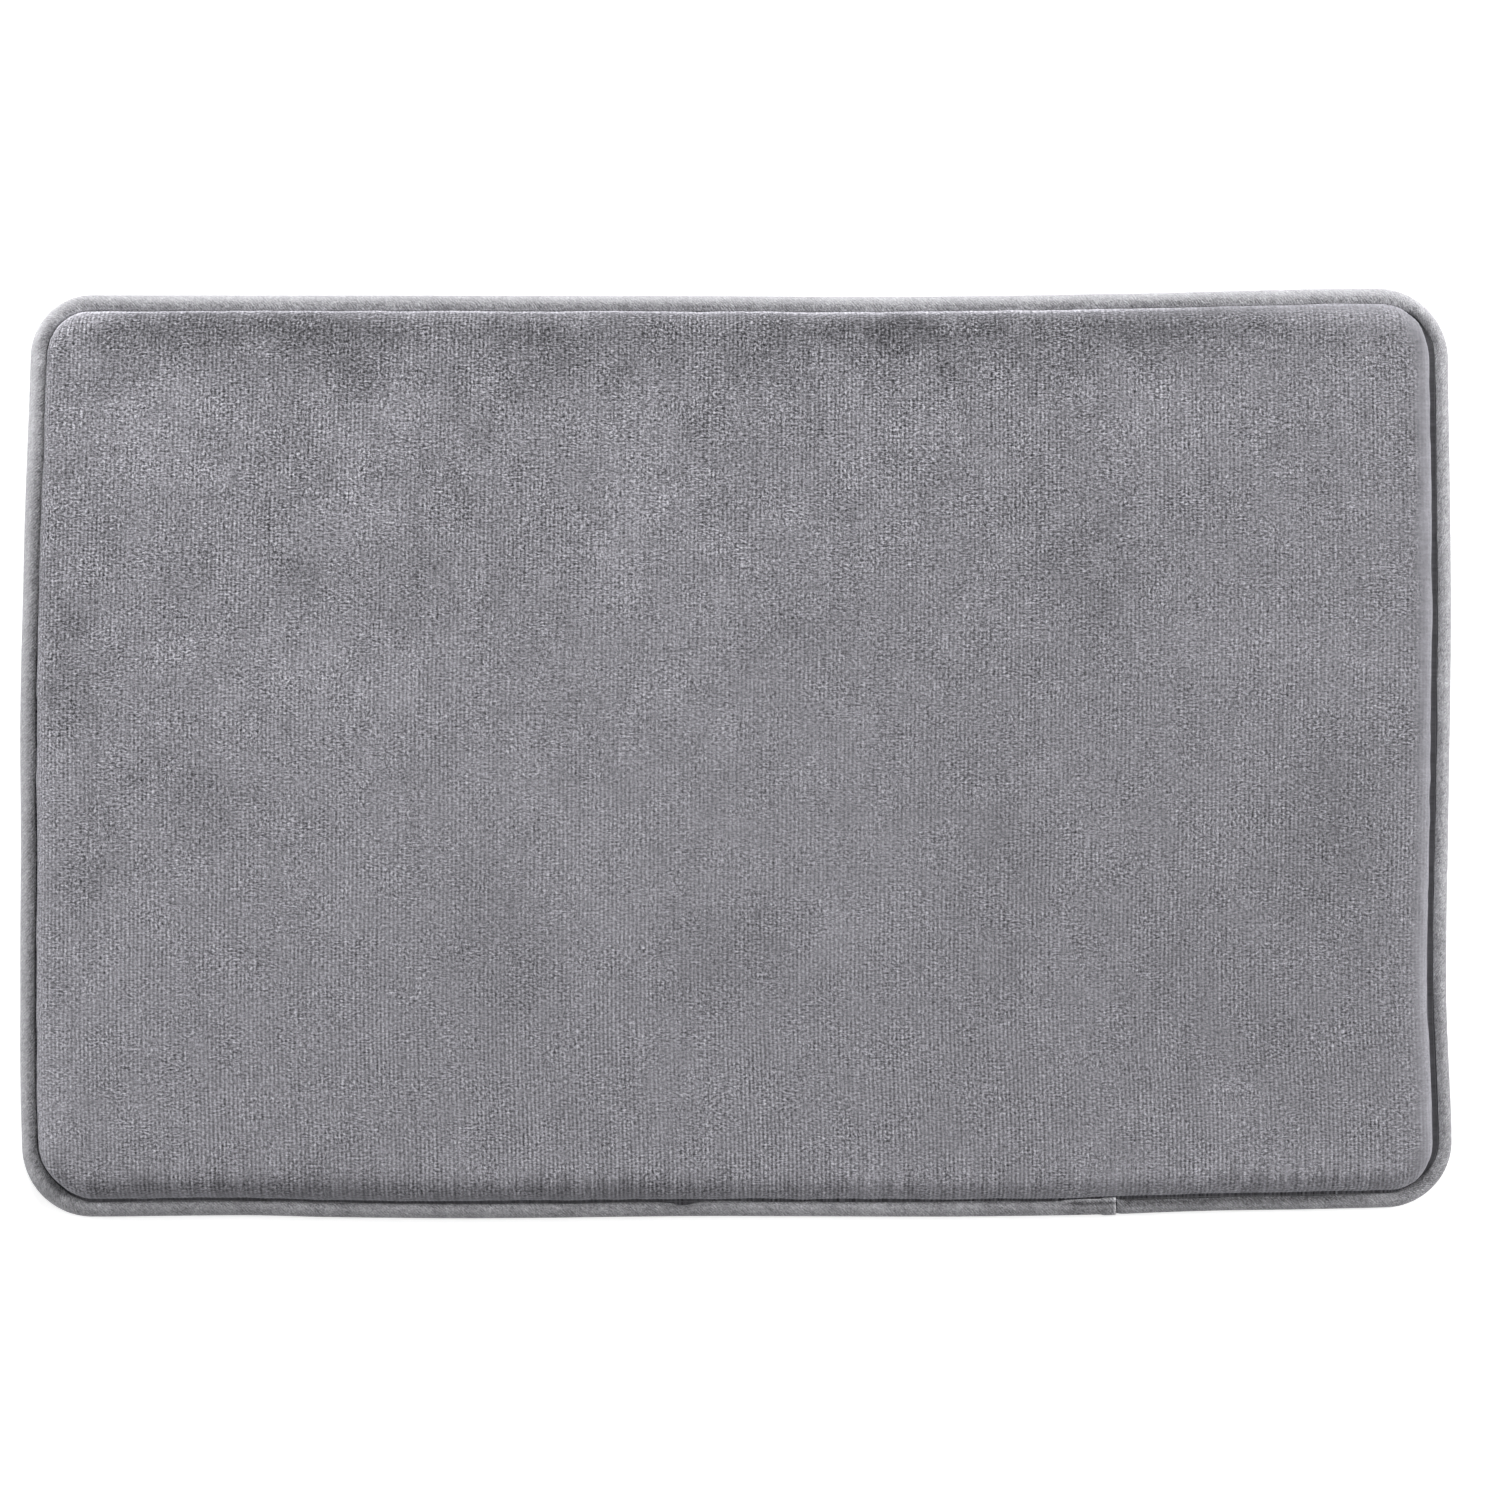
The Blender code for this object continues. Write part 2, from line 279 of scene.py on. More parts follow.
# ================================================================== materials
class Nodes:
    """Short way to write a node tree."""

    def __init__(self, name):
        self.mat = bpy.data.materials.new(name)
        self.mat.use_nodes = True
        self.tree = self.mat.node_tree
        self.shader = self.tree.nodes["Principled BSDF"]

    def add(self, kind, **props):
        node = self.tree.nodes.new("ShaderNode" + kind)
        for key, value in props.items():
            setattr(node, key, value)
        return node

    def link(self, out, sock):
        if hasattr(out, "links"):
            self.tree.links.new(out, sock)
        else:
            sock.default_value = out

    def math(self, op, a, b=0.0, c=None, clamp=False):
        node = self.add("Math", operation=op, use_clamp=clamp)
        self.link(a, node.inputs[0])
        self.link(b, node.inputs[1])
        if c is not None:
            self.link(c, node.inputs[2])
        return node.outputs[0]

    def vmath(self, op, a, b):
        node = self.add("VectorMath", operation=op)
        self.link(a, node.inputs[0])
        self.link(b, node.inputs[1])
        return node.outputs[0]

    def remap(self, v, a, b, c, d, kind="SMOOTHSTEP"):
        node = self.add("MapRange", interpolation_type=kind)
        self.link(v, node.inputs[0])
        for k, value in zip((1, 2, 3, 4), (a, b, c, d)):
            self.link(value, node.inputs[k])
        return node.outputs[0]

    def attribute(self, name, out):
        return self.add("Attribute", attribute_name=name).outputs[out]

    def split(self, v):
        node = self.add("SeparateXYZ")
        self.link(v, node.inputs[0])
        return node.outputs

    def join(self, x, y, z=0.0):
        node = self.add("CombineXYZ")
        for k, v in enumerate((x, y, z)):
            self.link(v, node.inputs[k])
        return node.outputs[0]

    def noise(self, vec, scale, detail=2.0, rough=0.5, distort=0.0,
              dims="3D"):
        node = self.add("TexNoise", noise_dimensions=dims)
        self.link(vec, node.inputs["Vector"])
        node.inputs["Scale"].default_value = scale
        node.inputs["Detail"].default_value = detail
        node.inputs["Roughness"].default_value = rough
        node.inputs["Distortion"].default_value = distort
        return node.outputs[0]

    def voronoi(self, vec, scale, feature="F1", rand=1.0, out=0):
        node = self.add("TexVoronoi", feature=feature)
        self.link(vec, node.inputs["Vector"])
        node.inputs["Scale"].default_value = scale
        node.inputs["Randomness"].default_value = rand
        return node.outputs[out]

    def mix(self, fac, a, b, blend="MIX"):
        node = self.add("Mix", data_type="RGBA", blend_type=blend,
                        clamp_factor=True)
        self.link(fac, node.inputs[0])
        for sock, value in ((node.inputs[6], a), (node.inputs[7], b)):
            if isinstance(value, tuple):
                sock.default_value = (*value, 1.0)
            else:
                self.link(value, sock)
        return node.outputs[2]

    def scale_colour(self, colour, factor):
        """colour (a tuple) times a factor socket."""
        node = self.add("VectorMath", operation="SCALE")
        node.inputs[0].default_value = colour
        self.link(factor, node.inputs["Scale"])
        return node.outputs[0]

    def bump(self, height, distance, strength=1.0, normal=None):
        node = self.add("Bump")
        node.inputs["Strength"].default_value = strength
        node.inputs["Distance"].default_value = distance
        self.link(height, node.inputs["Height"])
        if normal is not None:
            self.link(normal, node.inputs["Normal"])
        return node.outputs[0]

    def finish(self, colour, rough, normal=None, sheen=0.0, sheen_rough=0.4,
               sheen_tint=(1, 1, 1), specular=0.3):
        s = self.shader.inputs
        if isinstance(colour, tuple):
            s["Base Color"].default_value = (*colour, 1.0)
        else:
            self.link(colour, s["Base Color"])
        self.link(rough, s["Roughness"])
        if normal is not None:
            self.link(normal, s["Normal"])
        s["Sheen Weight"].default_value = sheen
        s["Sheen Roughness"].default_value = sheen_rough
        s["Sheen Tint"].default_value = (*sheen_tint, 1.0)
        s["Specular IOR Level"].default_value = specular
        return self.mat


def pile_material():
    """Short velvet pile standing on a ribbed warp knit.

    Attribute "pile" is (across the ribs, along the ribs, distance from the
    seam) in mm on the uncut cloth; "nap_and_painted_light" is how the pile is
    brushed, with painted shade and painted highlight along the edges and in
    the seam groove.
    """
    n = Nodes("pile_fabric")
    s, t, edge = n.split(n.attribute("pile", "Vector"))
    nap_and_painted_light = n.attribute("nap_and_painted_light", "Fac")
    flat = n.join(s, t, 0.0)

    # Ribs wander a little, and stand out more in some places than in others.
    wander = n.noise(n.join(n.math("MULTIPLY", s, 0.05),
                            n.math("MULTIPLY", t, 0.05)), 1.0, 2.0)
    tuft_row = n.noise(n.join(n.math("MULTIPLY", s, 0.9),
                              n.math("MULTIPLY", t, 0.45)), 1.0, 1.0, 0.5)
    phase = n.math("MULTIPLY_ADD", n.math("SUBTRACT", wander, 0.5), 0.9, s)
    phase = n.math("MULTIPLY_ADD", n.math("SUBTRACT", tuft_row, 0.5), 0.8,
                   phase)
    rib = n.math("COSINE", n.math("MULTIPLY", phase, 2 * math.pi / RIB))
    clear = n.noise(n.join(n.math("MULTIPLY", s, 0.022),
                           n.math("MULTIPLY", t, 0.014), 3.0), 1.0, 3.0, 0.6)
    rib_part = n.math("MULTIPLY", rib, n.remap(clear, 0.32, 0.68, 0.55, 1.40))

    # Tufts: clumps, which lie across the ribs in some patches and along
    # them in others, and finer fibres.
    def speck(across, along, seed, detail=1.0):
        v = n.noise(n.join(n.math("MULTIPLY", s, 1 / across),
                           n.math("MULTIPLY", t, 1 / along), seed), 1.0,
                    detail, 0.5)
        return n.math("SUBTRACT", v, 0.5)
    lie = n.remap(n.noise(n.join(n.math("MULTIPLY", s, 0.075),
                                 n.math("MULTIPLY", t, 0.06), 23.0), 1.0, 2.0,
                          0.6), 0.42, 0.58, 0.0, 1.0)
    cross = n.math("MULTIPLY", speck(2.5, 1.0, 31.0),
                   n.math("MULTIPLY", lie, 5.2))
    down = n.math("MULTIPLY", speck(1.1, 2.1, 37.0),
                  n.math("MULTIPLY", n.math("SUBTRACT", 1.0, lie), 5.2))
    grains = n.math("ADD", n.math("ADD", cross, down),
                    n.math("ADD",
                           n.math("MULTIPLY", speck(1.9, 1.15, 0.0), 5.6),
                           n.math("MULTIPLY", speck(0.8, 0.7, 7.0), 2.8)))
    clump = n.noise(n.join(s, t, 11.0), 0.19, 2.0, 0.6)
    clump = n.math("MULTIPLY", n.math("SUBTRACT", clump, 0.5), 1.0)
    rough = n.noise(n.join(n.math("MULTIPLY", s, 0.040),
                           n.math("MULTIPLY", t, 0.040), 17.0), 1.0, 3.0, 0.7)
    more = n.math("ADD", n.remap(rough, 0.35, 0.65, 0.72, 1.18),
                  n.remap(n.math("MULTIPLY_ADD", s, -0.15, t), -200.0, 200.0,
                          -0.14, 0.17))
    grains = n.math("MULTIPLY", grains, more)

    # The smooth shoulder shows its pile from the side, so less grain there.
    calm = n.attribute("calm", "Fac")
    # In colour the ribs and tufts are partly the pile's own tone and partly painted shade
    # in the valleys between them, lighter on their crests.
    fine = n.math("ADD", n.math("MULTIPLY", rib_part, RIB_K),
                  n.math("MULTIPLY", grains, GRAIN_K))
    fine = n.math("MULTIPLY", fine, calm)
    tone = n.math("MULTIPLY_ADD", clump, 0.06, fine)
    # Faint linen look: long thin marks both ways where the cloth was rolled.
    for across, along, seed in ((26.0, 2.3, 41.0), (2.6, 24.0, 43.0)):
        line = n.noise(n.join(n.math("MULTIPLY", s, 1 / across),
                              n.math("MULTIPLY", t, 1 / along), seed), 1.0,
                       1.0, 0.5)
        line = n.math("MULTIPLY", n.math("SUBTRACT", line, 0.5), more)
        tone = n.math("MULTIPLY_ADD", line, 0.17, tone)
    tone = n.math("ADD", tone, nap_and_painted_light)
    tone = n.math("MAXIMUM", n.math("ADD", tone, 1.0), 0.35)
    tone = n.math("POWER", n.math("MINIMUM", tone, 1.75), 2.2)
    colour = n.scale_colour(PILE_COLOUR, tone)

    normal = n.bump(fine, 0.0006, 0.6)
    return n.finish(colour, 0.92, normal, sheen=0.35, sheen_rough=0.42,
                    sheen_tint=(0.92, 0.92, 1.0), specular=0.18)


RIB_K, GRAIN_K = 0.098, 0.220


def tape_material(name, colour, sheen):
    """Bias-cut brushed tape: diagonal weave, thread-by-thread variation.

    Attribute "tape" is (along the tape, across it, shade), the first two in
    mm; shade is painted light and shade in the tape's colour, with some of the
    tape's own patchy tone.
    """
    n = Nodes(name)
    u, v, shade = n.split(n.attribute("tape", "Vector"))
    fuzz = n.attribute("fuzz", "Fac")
    a = n.math("MULTIPLY", n.math("ADD", u, v), 0.7071)
    b = n.math("MULTIPLY", n.math("SUBTRACT", u, v), 0.7071)

    def speck(x, y, across, along, seed, detail=1.0):
        value = n.noise(n.join(n.math("MULTIPLY", x, 1 / across),
                               n.math("MULTIPLY", y, 1 / along), seed), 1.0,
                        detail, 0.5)
        return n.math("SUBTRACT", value, 0.5)
    rows = n.math("SINE", n.math("MULTIPLY_ADD", speck(a, b, 3.0, 3.0, 1.0),
                                 5.0, n.math("MULTIPLY", a,
                                             2 * math.pi / 1.25)))
    hatch = n.math("MULTIPLY", speck(a, b, 0.85, 2.6, 5.0), 3.6)
    pile = n.math("MULTIPLY", speck(u, v, 0.95, 0.8, 9.0), 3.6)
    tuft = n.math("MULTIPLY", speck(u, v, 2.4, 1.6, 13.0), 1.6)
    fine = n.math("ADD", n.math("MULTIPLY", rows, 0.22),
                  n.math("ADD", hatch, n.math("ADD", pile, tuft)))
    fine = n.math("MULTIPLY", fine, fuzz)
    patch = n.noise(n.join(u, v, 9.0), 0.06, 2.0)
    drag = speck(a, b, 4.0, 9.0, 17.0, 2.0)
    tone = n.math("MULTIPLY_ADD", fine, TAPE_K, 1.0)
    tone = n.math("MULTIPLY_ADD", n.math("SUBTRACT", patch, 0.5), 0.10, tone)
    tone = n.math("MULTIPLY_ADD", drag, n.math("MULTIPLY", fuzz, 0.32), tone)
    # Adds the painted light and shade carried in the tape attribute.
    tone = n.math("ADD", tone, shade)
    tone = n.math("POWER", n.math("MINIMUM", n.math("MAXIMUM", tone, 0.35),
                                  1.7), 2.2)
    normal = n.bump(fine, 0.00035, 0.5)
    return n.finish(n.scale_colour(colour, tone), 0.88, normal, sheen=sheen,
                    sheen_rough=0.38, sheen_tint=(0.97, 0.97, 1.0),
                    specular=0.15)


TAPE_K = 0.17


def foam_material():
    """Open-cell foam: pores of several sizes, slightly yellowed skin."""
    n = Nodes("foam")
    pos = n.add("TexCoord").outputs["Object"]
    cells = n.voronoi(pos, 1500.0, "F1")
    big = n.voronoi(pos, 420.0, "F1")
    age = n.noise(pos, 14.0, 3.0, 0.6)
    pore = n.remap(cells, 0.05, 0.45, 0.0, 1.0)
    hole = n.remap(big, 0.10, 0.32, 0.0, 1.0)
    h = n.math("MULTIPLY", pore, n.math("MULTIPLY_ADD", hole, 0.5, 0.5))
    colour = n.mix(n.remap(age, 0.3, 0.7, 0.0, 1.0), (0.80, 0.78, 0.70),
                   (0.76, 0.71, 0.58))
    # Darker in the pores: painted shade.
    colour = n.mix(n.math("MULTIPLY_ADD", h, 0.5, 0.5), (0.42, 0.40, 0.33),
                   colour)
    return n.finish(colour, 0.95, n.bump(h, 0.0006, 0.7), specular=0.1)


def cloth_material(name, colour, pitch, sheen=0.1):
    """Plain weave, x threads over y threads, slubby yarns."""
    n = Nodes(name)
    x, y, z = n.split(n.add("TexCoord").outputs["Object"])
    k = 2 * math.pi / pitch
    sx = n.math("SINE", n.math("MULTIPLY", x, k))
    sy = n.math("SINE", n.math("MULTIPLY", y, k))
    over = n.remap(n.math("MULTIPLY", sx, sy), -0.25, 0.25, 0.0, 1.0)
    ridge_x = n.math("ABSOLUTE", n.math("SINE", n.math("MULTIPLY", x, k)))
    ridge_y = n.math("ABSOLUTE", n.math("SINE", n.math("MULTIPLY", y, k)))
    h = n.math("ADD", n.math("MULTIPLY", ridge_x, over),
               n.math("MULTIPLY", ridge_y, n.math("SUBTRACT", 1.0, over)))
    slub = n.noise(n.join(n.math("MULTIPLY", x, 60.0),
                          n.math("MULTIPLY", y, 900.0)), 1.0, 2.0)
    patch = n.noise(n.join(x, y, z), 30.0, 3.0)
    tone = n.math("MULTIPLY_ADD", h, 0.35, 0.70)
    tone = n.math("MULTIPLY_ADD", n.math("SUBTRACT", slub, 0.5), 0.30, tone)
    tone = n.math("MULTIPLY_ADD", n.math("SUBTRACT", patch, 0.5), 0.16, tone)
    return n.finish(n.scale_colour(colour, tone), 0.85,
                    n.bump(h, 0.00020, 0.6), sheen=sheen, specular=0.25)


def thread_material():
    """Two-ply sewing thread; "tape" is (along, round, 0) in mm."""
    n = Nodes("thread")
    u, v, _ = n.split(n.attribute("tape", "Vector"))
    ply = n.math("SINE", n.math("MULTIPLY",
                                n.math("MULTIPLY_ADD", v, 1.0,
                                       n.math("MULTIPLY", u, 1.0)),
                                2 * math.pi / 0.55))
    lint = n.noise(n.join(u, v), 2.0, 2.0)
    tone = n.math("MULTIPLY_ADD", ply, 0.14, 0.92)
    tone = n.math("MULTIPLY_ADD", n.math("SUBTRACT", lint, 0.5), 0.35, tone)
    return n.finish(n.scale_colour((0.13, 0.13, 0.135), tone), 0.6,
                    n.bump(ply, 0.00006, 0.6), sheen=0.2, specular=0.35)


def grip_material():
    """Soft moulded dots: slightly mottled, rubbed duller at the tips."""
    n = Nodes("grip_pvc")
    pos = n.add("TexCoord").outputs["Object"]
    x, y, z = n.split(pos)
    mottle = n.noise(pos, 260.0, 3.0, 0.6)
    dust = n.noise(pos, 35.0, 2.0)
    rub = n.remap(z, 0.0, 0.0007, 1.0, 0.0)
    colour = n.mix(n.remap(mottle, 0.3, 0.7, 0.0, 1.0),
                   (0.52, 0.52, 0.53), (0.62, 0.62, 0.64))
    colour = n.mix(n.math("MULTIPLY", rub, n.remap(dust, 0.3, 0.7, 0.1, 0.6)),
                   colour, (0.38, 0.37, 0.36))
    rough = n.math("MULTIPLY_ADD", rub, 0.22, 0.42)
    return n.finish(colour, rough, n.bump(mottle, 0.00008, 0.4),
                    specular=0.5)


def satin_material():
    """Blank woven satin tag."""
    n = Nodes("label_satin")
    x, y, z = n.split(n.add("TexCoord").outputs["Object"])
    yarn = n.math("SINE", n.math("MULTIPLY", x, 2 * math.pi / 0.00032))
    step = n.math("SINE", n.math("MULTIPLY",
                                 n.math("MULTIPLY_ADD", x, 3.0, y),
                                 2 * math.pi / 0.0011))
    wear = n.noise(n.join(x, y), 90.0, 3.0)
    tone = n.math("MULTIPLY_ADD", yarn, 0.05, 0.93)
    tone = n.math("MULTIPLY_ADD", step, 0.04, tone)
    tone = n.math("MULTIPLY_ADD", n.math("SUBTRACT", wear, 0.5), 0.15, tone)
    return n.finish(n.scale_colour((0.80, 0.80, 0.78), tone), 0.42,
                    n.bump(yarn, 0.00005, 0.5), sheen=0.1, specular=0.5)


PILE_COLOUR = (0.186, 0.183, 0.199)
TAPE_COLOUR = (0.325, 0.323, 0.338)


# ===================================================================== cover
def shoulder_line():
    """Outer line of the padded shoulder, from the seam to the flat top."""
    return superellipse(D_SEAM, Z_SEAM, 26.0, HEIGHT - 0.15, 2.5, 160)


SH = shoulder_line()
SH_S = np.concatenate([[0], np.cumsum(np.hypot(*np.diff(SH, axis=0).T))])
SH_LEN = float(SH_S[-1])                      # along the cloth
EASE = SH_LEN - (26.0 - D_SEAM)               # cloth taken up by the height

# Places where the pile is brushed darker (-) or lighter (+); the dark marks
# along the back (y over 210) are partly painted shade of the back shoulder:
# x, y (mm from the middle), half sizes, strength.
NAP_AND_PAINTED_SHADE_MARKS = [
    (-320, 236, 28, 9, -.13), (-300, 243, 60, 6, -.10), (-255, 240, 32, 10, -.12),
    (-222, 222, 28, 22, -.12), (-105, 232, 30, 9, -.08), (-100, 215, 16, 14, -.08),
    (0, 222, 12, 14, -.08), (75, 240, 46, 7, -.17), (100, 236, 26, 9, -.12),
    (178, 239, 36, 6, -.10), (215, 236, 26, 6, -.08), (-170, 242, 40, 7, -.07),
    (-20, 243, 40, 5, -.07), (120, 215, 30, 26, -.06), (350, 228, 40, 9, -.05),
    (-238, 150, 12, 22, -.06), (-308, 102, 10, 20, -.07), (-242, 92, 15, 20, -.09),
    (-172, 108, 13, 22, -.09), (-100, 78, 14, 20, -.07), (-96, 125, 8, 22, -.04),
    (-8, 142, 18, 15, -.07), (60, 133, 14, 9, -.09), (56, 80, 15, 15, -.07),
    (18, 62, 22, 20, -.06), (196, 110, 26, 46, -.08), (200, 82, 9, 16, -.05),
    (-296, -22, 14, 28, -.10), (-370, 60, 12, 40, -.06), (-372, 22, 12, 30, -.07),
    (-362, -70, 12, 24, -.08), (-388, 100, 6, 30, -.09), (-386, 36, 6, 26, -.08),
    (-130, -90, 22, 34, -.06), (-122, -132, 14, 22, -.07), (6, -108, 32, 30, -.06),
    (-30, -98, 10, 30, -.05), (332, -52, 30, 52, -.09), (338, -16, 24, 34, -.04),
    (250, -125, 48, 40, -.06), (300, -165, 46, 26, -.04), (156, -110, 3, 60, -.06),
    (140, -60, 30, 80, -.03), (-385, 215, 7, 24, -.10), (178, -48, 60, 30, -.02),
    (-320, 176, 44, 38, +.07), (-335, 196, 20, 16, +.04), (-188, 200, 18, 24, +.08),
    (-60, 110, 28, 120, +.05), (-245, 60, 20, 18, +.08), (-185, 44, 18, 14, +.07),
    (-220, 40, 60, 30, +.05), (-5, 18, 12, 12, +.08), (-378, -16, 10, 22, +.11),
    (-377, -188, 9, 34, +.10), (-310, -196, 50, 14, +.04), (-352, -130, 20, 50, +.03),
    (240, 195, 60, 30, +.05), (352, 40, 40, 22, +.05), (290, 58, 60, 8, +.04),
    (52, -96, 12, 14, +.06), (92, -92, 20, 14, +.05), (280, -196, 20, 20, +.07),
    (210, -160, 40, 12, +.02), (-70, -90, 22, 22, +.03), (-355, 246, 26, 7, +.12),
    (60, 219, 24, 10, +.07), (-210, 130, 60, 6, +.04), (-230, -90, 70, 70, +.03),
    (-90, -30, 50, 24, +.03),
]


def nap_and_painted_light_field(s, t):
    """How light or dark the pile looks at a point of the cloth: its brushed
    nap, with painted shade and painted highlight along the edges.
    """
    # Ragged edges for the marks.
    ws = s + 7 * noise2(s, t, 13, 21) + 3.5 * noise2(s, t, 5, 22)
    wt = t + 7 * noise2(s, t, 13, 23) + 3.5 * noise2(s, t, 5, 24)
    out = np.zeros_like(s)
    for x, y, rx, ry, k in NAP_AND_PAINTED_SHADE_MARKS:
        q = ((ws - x) / rx) ** 2 + ((wt - y) / ry) ** 2
        out += 0.70 * k * np.exp(-0.9 * q)
    # Brushed blotches, stronger to the back and left, calm front right.
    busy = 0.30 + 0.70 * smooth((t + 120 - 0.35 * (s + 100)) / 320)
    out += busy * (0.022 * noise2(s, t, 26, 31) + 0.030 * noise2(s, t, 12, 32)
                   + 0.030 * noise2(s, t * 0.8, 6, 33))
    # Faint linen-like streaks both ways.
    out += (0.5 + 0.5 * busy) * (0.026 * noise2(s * 0.35, t, 4.2, 35)
                                 + 0.030 * noise2(s, t * 0.35, 4.2, 36)
                                 + 0.020 * noise2(s, t, 4.0, 37))
    out += 0.012 * noise2(s, t, 60, 34)
    # Slow fall of tone towards the right.
    out += -0.030 * (s / 400) - 0.020 * (t / 250)
    # Painted shade and painted highlight along the edges: dark and ragged
    # along the back, fading out at its ends; light down the right side, at the
    # left end and along the front seam towards the right.
    rag = 5 * noise2(s, t, 16, 38) + 3 * noise2(s, t, 6, 39)
    along_back = smooth((350 - s) / 80) * smooth((s + 385) / 40)
    out -= 0.10 * along_back * smooth((t + rag * 0.7 - 226) / 13)
    out -= 0.065 * along_back * smooth((t + rag * 1.6 - 190) / 35)
    out += 0.135 * smooth((s - 380) / 8) * smooth((240 - np.abs(t)) / 20)
    out += 0.045 * smooth((s - 364) / 16) * smooth((60 - t) / 200)
    out += 0.03 * smooth((-378 - s) / 12)
    out += 0.06 * smooth((-228 - t) / 10) * smooth((s + 60) / 160)
    out += 0.03 * smooth((-216 - t) / 12) * smooth((s + 250) / 400)
    # Rows of pile fan open where they turn down along the front.
    out += (noise2(s, t * 0.12, 1.5, 48)
            * (0.05 * smooth((-t - 170) / 60) + 0.10 * smooth((-t - 224) / 14)))
    # Painted shade: a darker band along the front seam, left of the middle.
    out -= 0.05 * smooth((-228 - t + 0.5 * rag) / 10) * smooth((40 - s) / 160)
    return out


def rounded_depth(x, y, hx, hy, radii):
    """Distance inside a rounded rectangle, and the outward direction."""
    r = np.where(x > 0, np.where(y > 0, radii[1], radii[0]),
                 np.where(y > 0, radii[2], radii[3]))
    qx, qy = np.abs(x) - hx + r, np.abs(y) - hy + r
    mx, my = np.maximum(qx, 0), np.maximum(qy, 0)
    ln = np.hypot(mx, my)
    depth = r - (np.minimum(np.maximum(qx, qy), 0) + ln)
    corner = ln > 1e-9
    nx = np.where(corner, mx / np.maximum(ln, 1e-9), qx >= qy)
    ny = np.where(corner, my / np.maximum(ln, 1e-9), qx < qy)
    return depth, nx * np.sign(x), ny * np.sign(y)


def build_cover():
    hs, ht = HX - D_SEAM + EASE, HY - D_SEAM + EASE
    radii = [r - D_SEAM + EASE for r in (R_FR, R_BR, R_BL, R_FL)]

    # Columns lie on the crests and valleys of the ribs.
    half = int(round(hs / (RIB / 2)))
    cols = 2 * half + 1
    s1 = np.linspace(-hs, hs, cols)
    edge_rows = np.array([0, .5, 1.1, 1.8, 2.6, 3.5, 4.5, 5.6, 6.8, 8.1, 9.5,
                          11.1, 12.9, 15, 17.5, 20.5, 24.5, 29.5])
    inner = np.linspace(edge_rows[-1], 2 * ht - edge_rows[-1], 73)[1:-1]
    depth_rows = np.concatenate([edge_rows, inner,
                                 (2 * ht - edge_rows)[::-1]])
    tau = depth_rows / ht - 1                              # -1 .. 1
    rows = len(tau)

    def reach(s, r):
        over = np.abs(s) - (hs - r)
        return np.where(over > 0,
                        ht - r + np.sqrt(np.maximum(r * r - over ** 2, 0)),
                        ht)
    top = reach(s1, np.where(s1 > 0, radii[1], radii[2]))
    bot = reach(s1, np.where(s1 > 0, radii[0], radii[3]))
    s = np.repeat(s1[None, :], rows, 0)
    t = np.where(tau[:, None] > 0, tau[:, None] * top, tau[:, None] * bot)

    depth, nx, ny = rounded_depth(s, t, hs, ht, radii)
    depth = np.maximum(depth, 0)
    d_in = np.interp(depth, SH_S, SH[:, 0]) + np.maximum(depth - SH_LEN, 0)
    z = np.interp(depth, SH_S, SH[:, 1])
    back = (d_in - D_SEAM + EASE) - depth          # inwards, plan
    x, y = s - nx * back, t - ny * back

    # Slope of the shoulder gives the direction the pile stands in.
    e = 0.05
    dz = (np.interp(depth + e, SH_S, SH[:, 1])
          - np.interp(depth - e, SH_S, SH[:, 1])) / (2 * e)
    dz = np.clip(dz, 0, 1)
    up = np.sqrt(np.maximum(1 - dz * dz, 0))

    # Soft unevenness of the padding, puckers along the seam, ribs, tufts.
    rng = np.random.RandomState(5)
    flat = smooth((depth - 8) / 30)
    z_soft = (0.28 * noise2(s, t, 70, 41) + 0.16 * noise2(s, t, 30, 42)
              + 0.05 * noise2(s, t, 10, 43)) * (0.35 + 0.65 * flat)
    z_soft -= 0.55 * np.exp(-np.maximum(depth - 16, 0) / 16) * smooth(depth / 6)
    around = np.arctan2(t / ht, s / hs) * 400
    pucker = (noise1(around + 2000, 17, 51) * 0.35
              + noise1(around + 2000, 6, 52) * 0.18)
    full, slack = fullness(nx, ny), slackness(nx, ny)
    swell = pucker * np.exp(-((depth - 5) / 6) ** 2)
    front = np.clip(-ny, 0, 1)
    swell = swell + ((0.75 - 0.30 * front) * (1 - slack)
                     * np.exp(-((depth - 4.0) / 3.0) ** 2))
    corner = (np.clip(2 * nx * ny, 0, 1) ** 1.5) * (nx < 0)
    swell = swell - 2.0 * corner * np.exp(-((depth - 3.5) / 5.0) ** 2)
    swell = swell - 1.0 * slack * np.exp(-((depth - 3.0) / 4.5) ** 2)
    swell = swell + ((0.55 + 0.55 * smooth((s + 120) / 260)) * full
                     * np.exp(-((depth - 2.5) / 2.2) ** 2))
    column = np.arange(cols)[None, :] - half
    crest = np.where(column % 2 == 0, 1.0, -1.0)
    rib_amp = 0.105 * (0.75 + 0.35 * noise2(s, t, 16, 44))
    rib_amp = rib_amp * smooth(depth / 3)
    tuft = rng.uniform(-1, 1, s.shape) * 0.045 * smooth(depth / 2)
    out = crest * rib_amp + tuft + swell
    x, y = x + nx * dz * out, y + ny * dz * out
    z = z + z_soft + up * out
    x, y = warp(x, y)

    verts = np.column_stack([x.ravel(), y.ravel(), z.ravel()])
    faces = strip_faces(rows, cols, False, False)

    # Rim of the grid, counter-clockwise from the front left corner.
    idx = np.arange(rows * cols).reshape(rows, cols)
    rim = np.concatenate([idx[0, :-1], idx[:-1, -1], idx[-1, :0:-1],
                          idx[:0:-1, 0]])
    sr, tr = s.ravel()[rim], t.ravel()[rim]
    nxr, nyr = nx.ravel()[rim], ny.ravel()[rim]
    px, py = sr - nxr * EASE, tr - nyr * EASE        # plan of the seam line

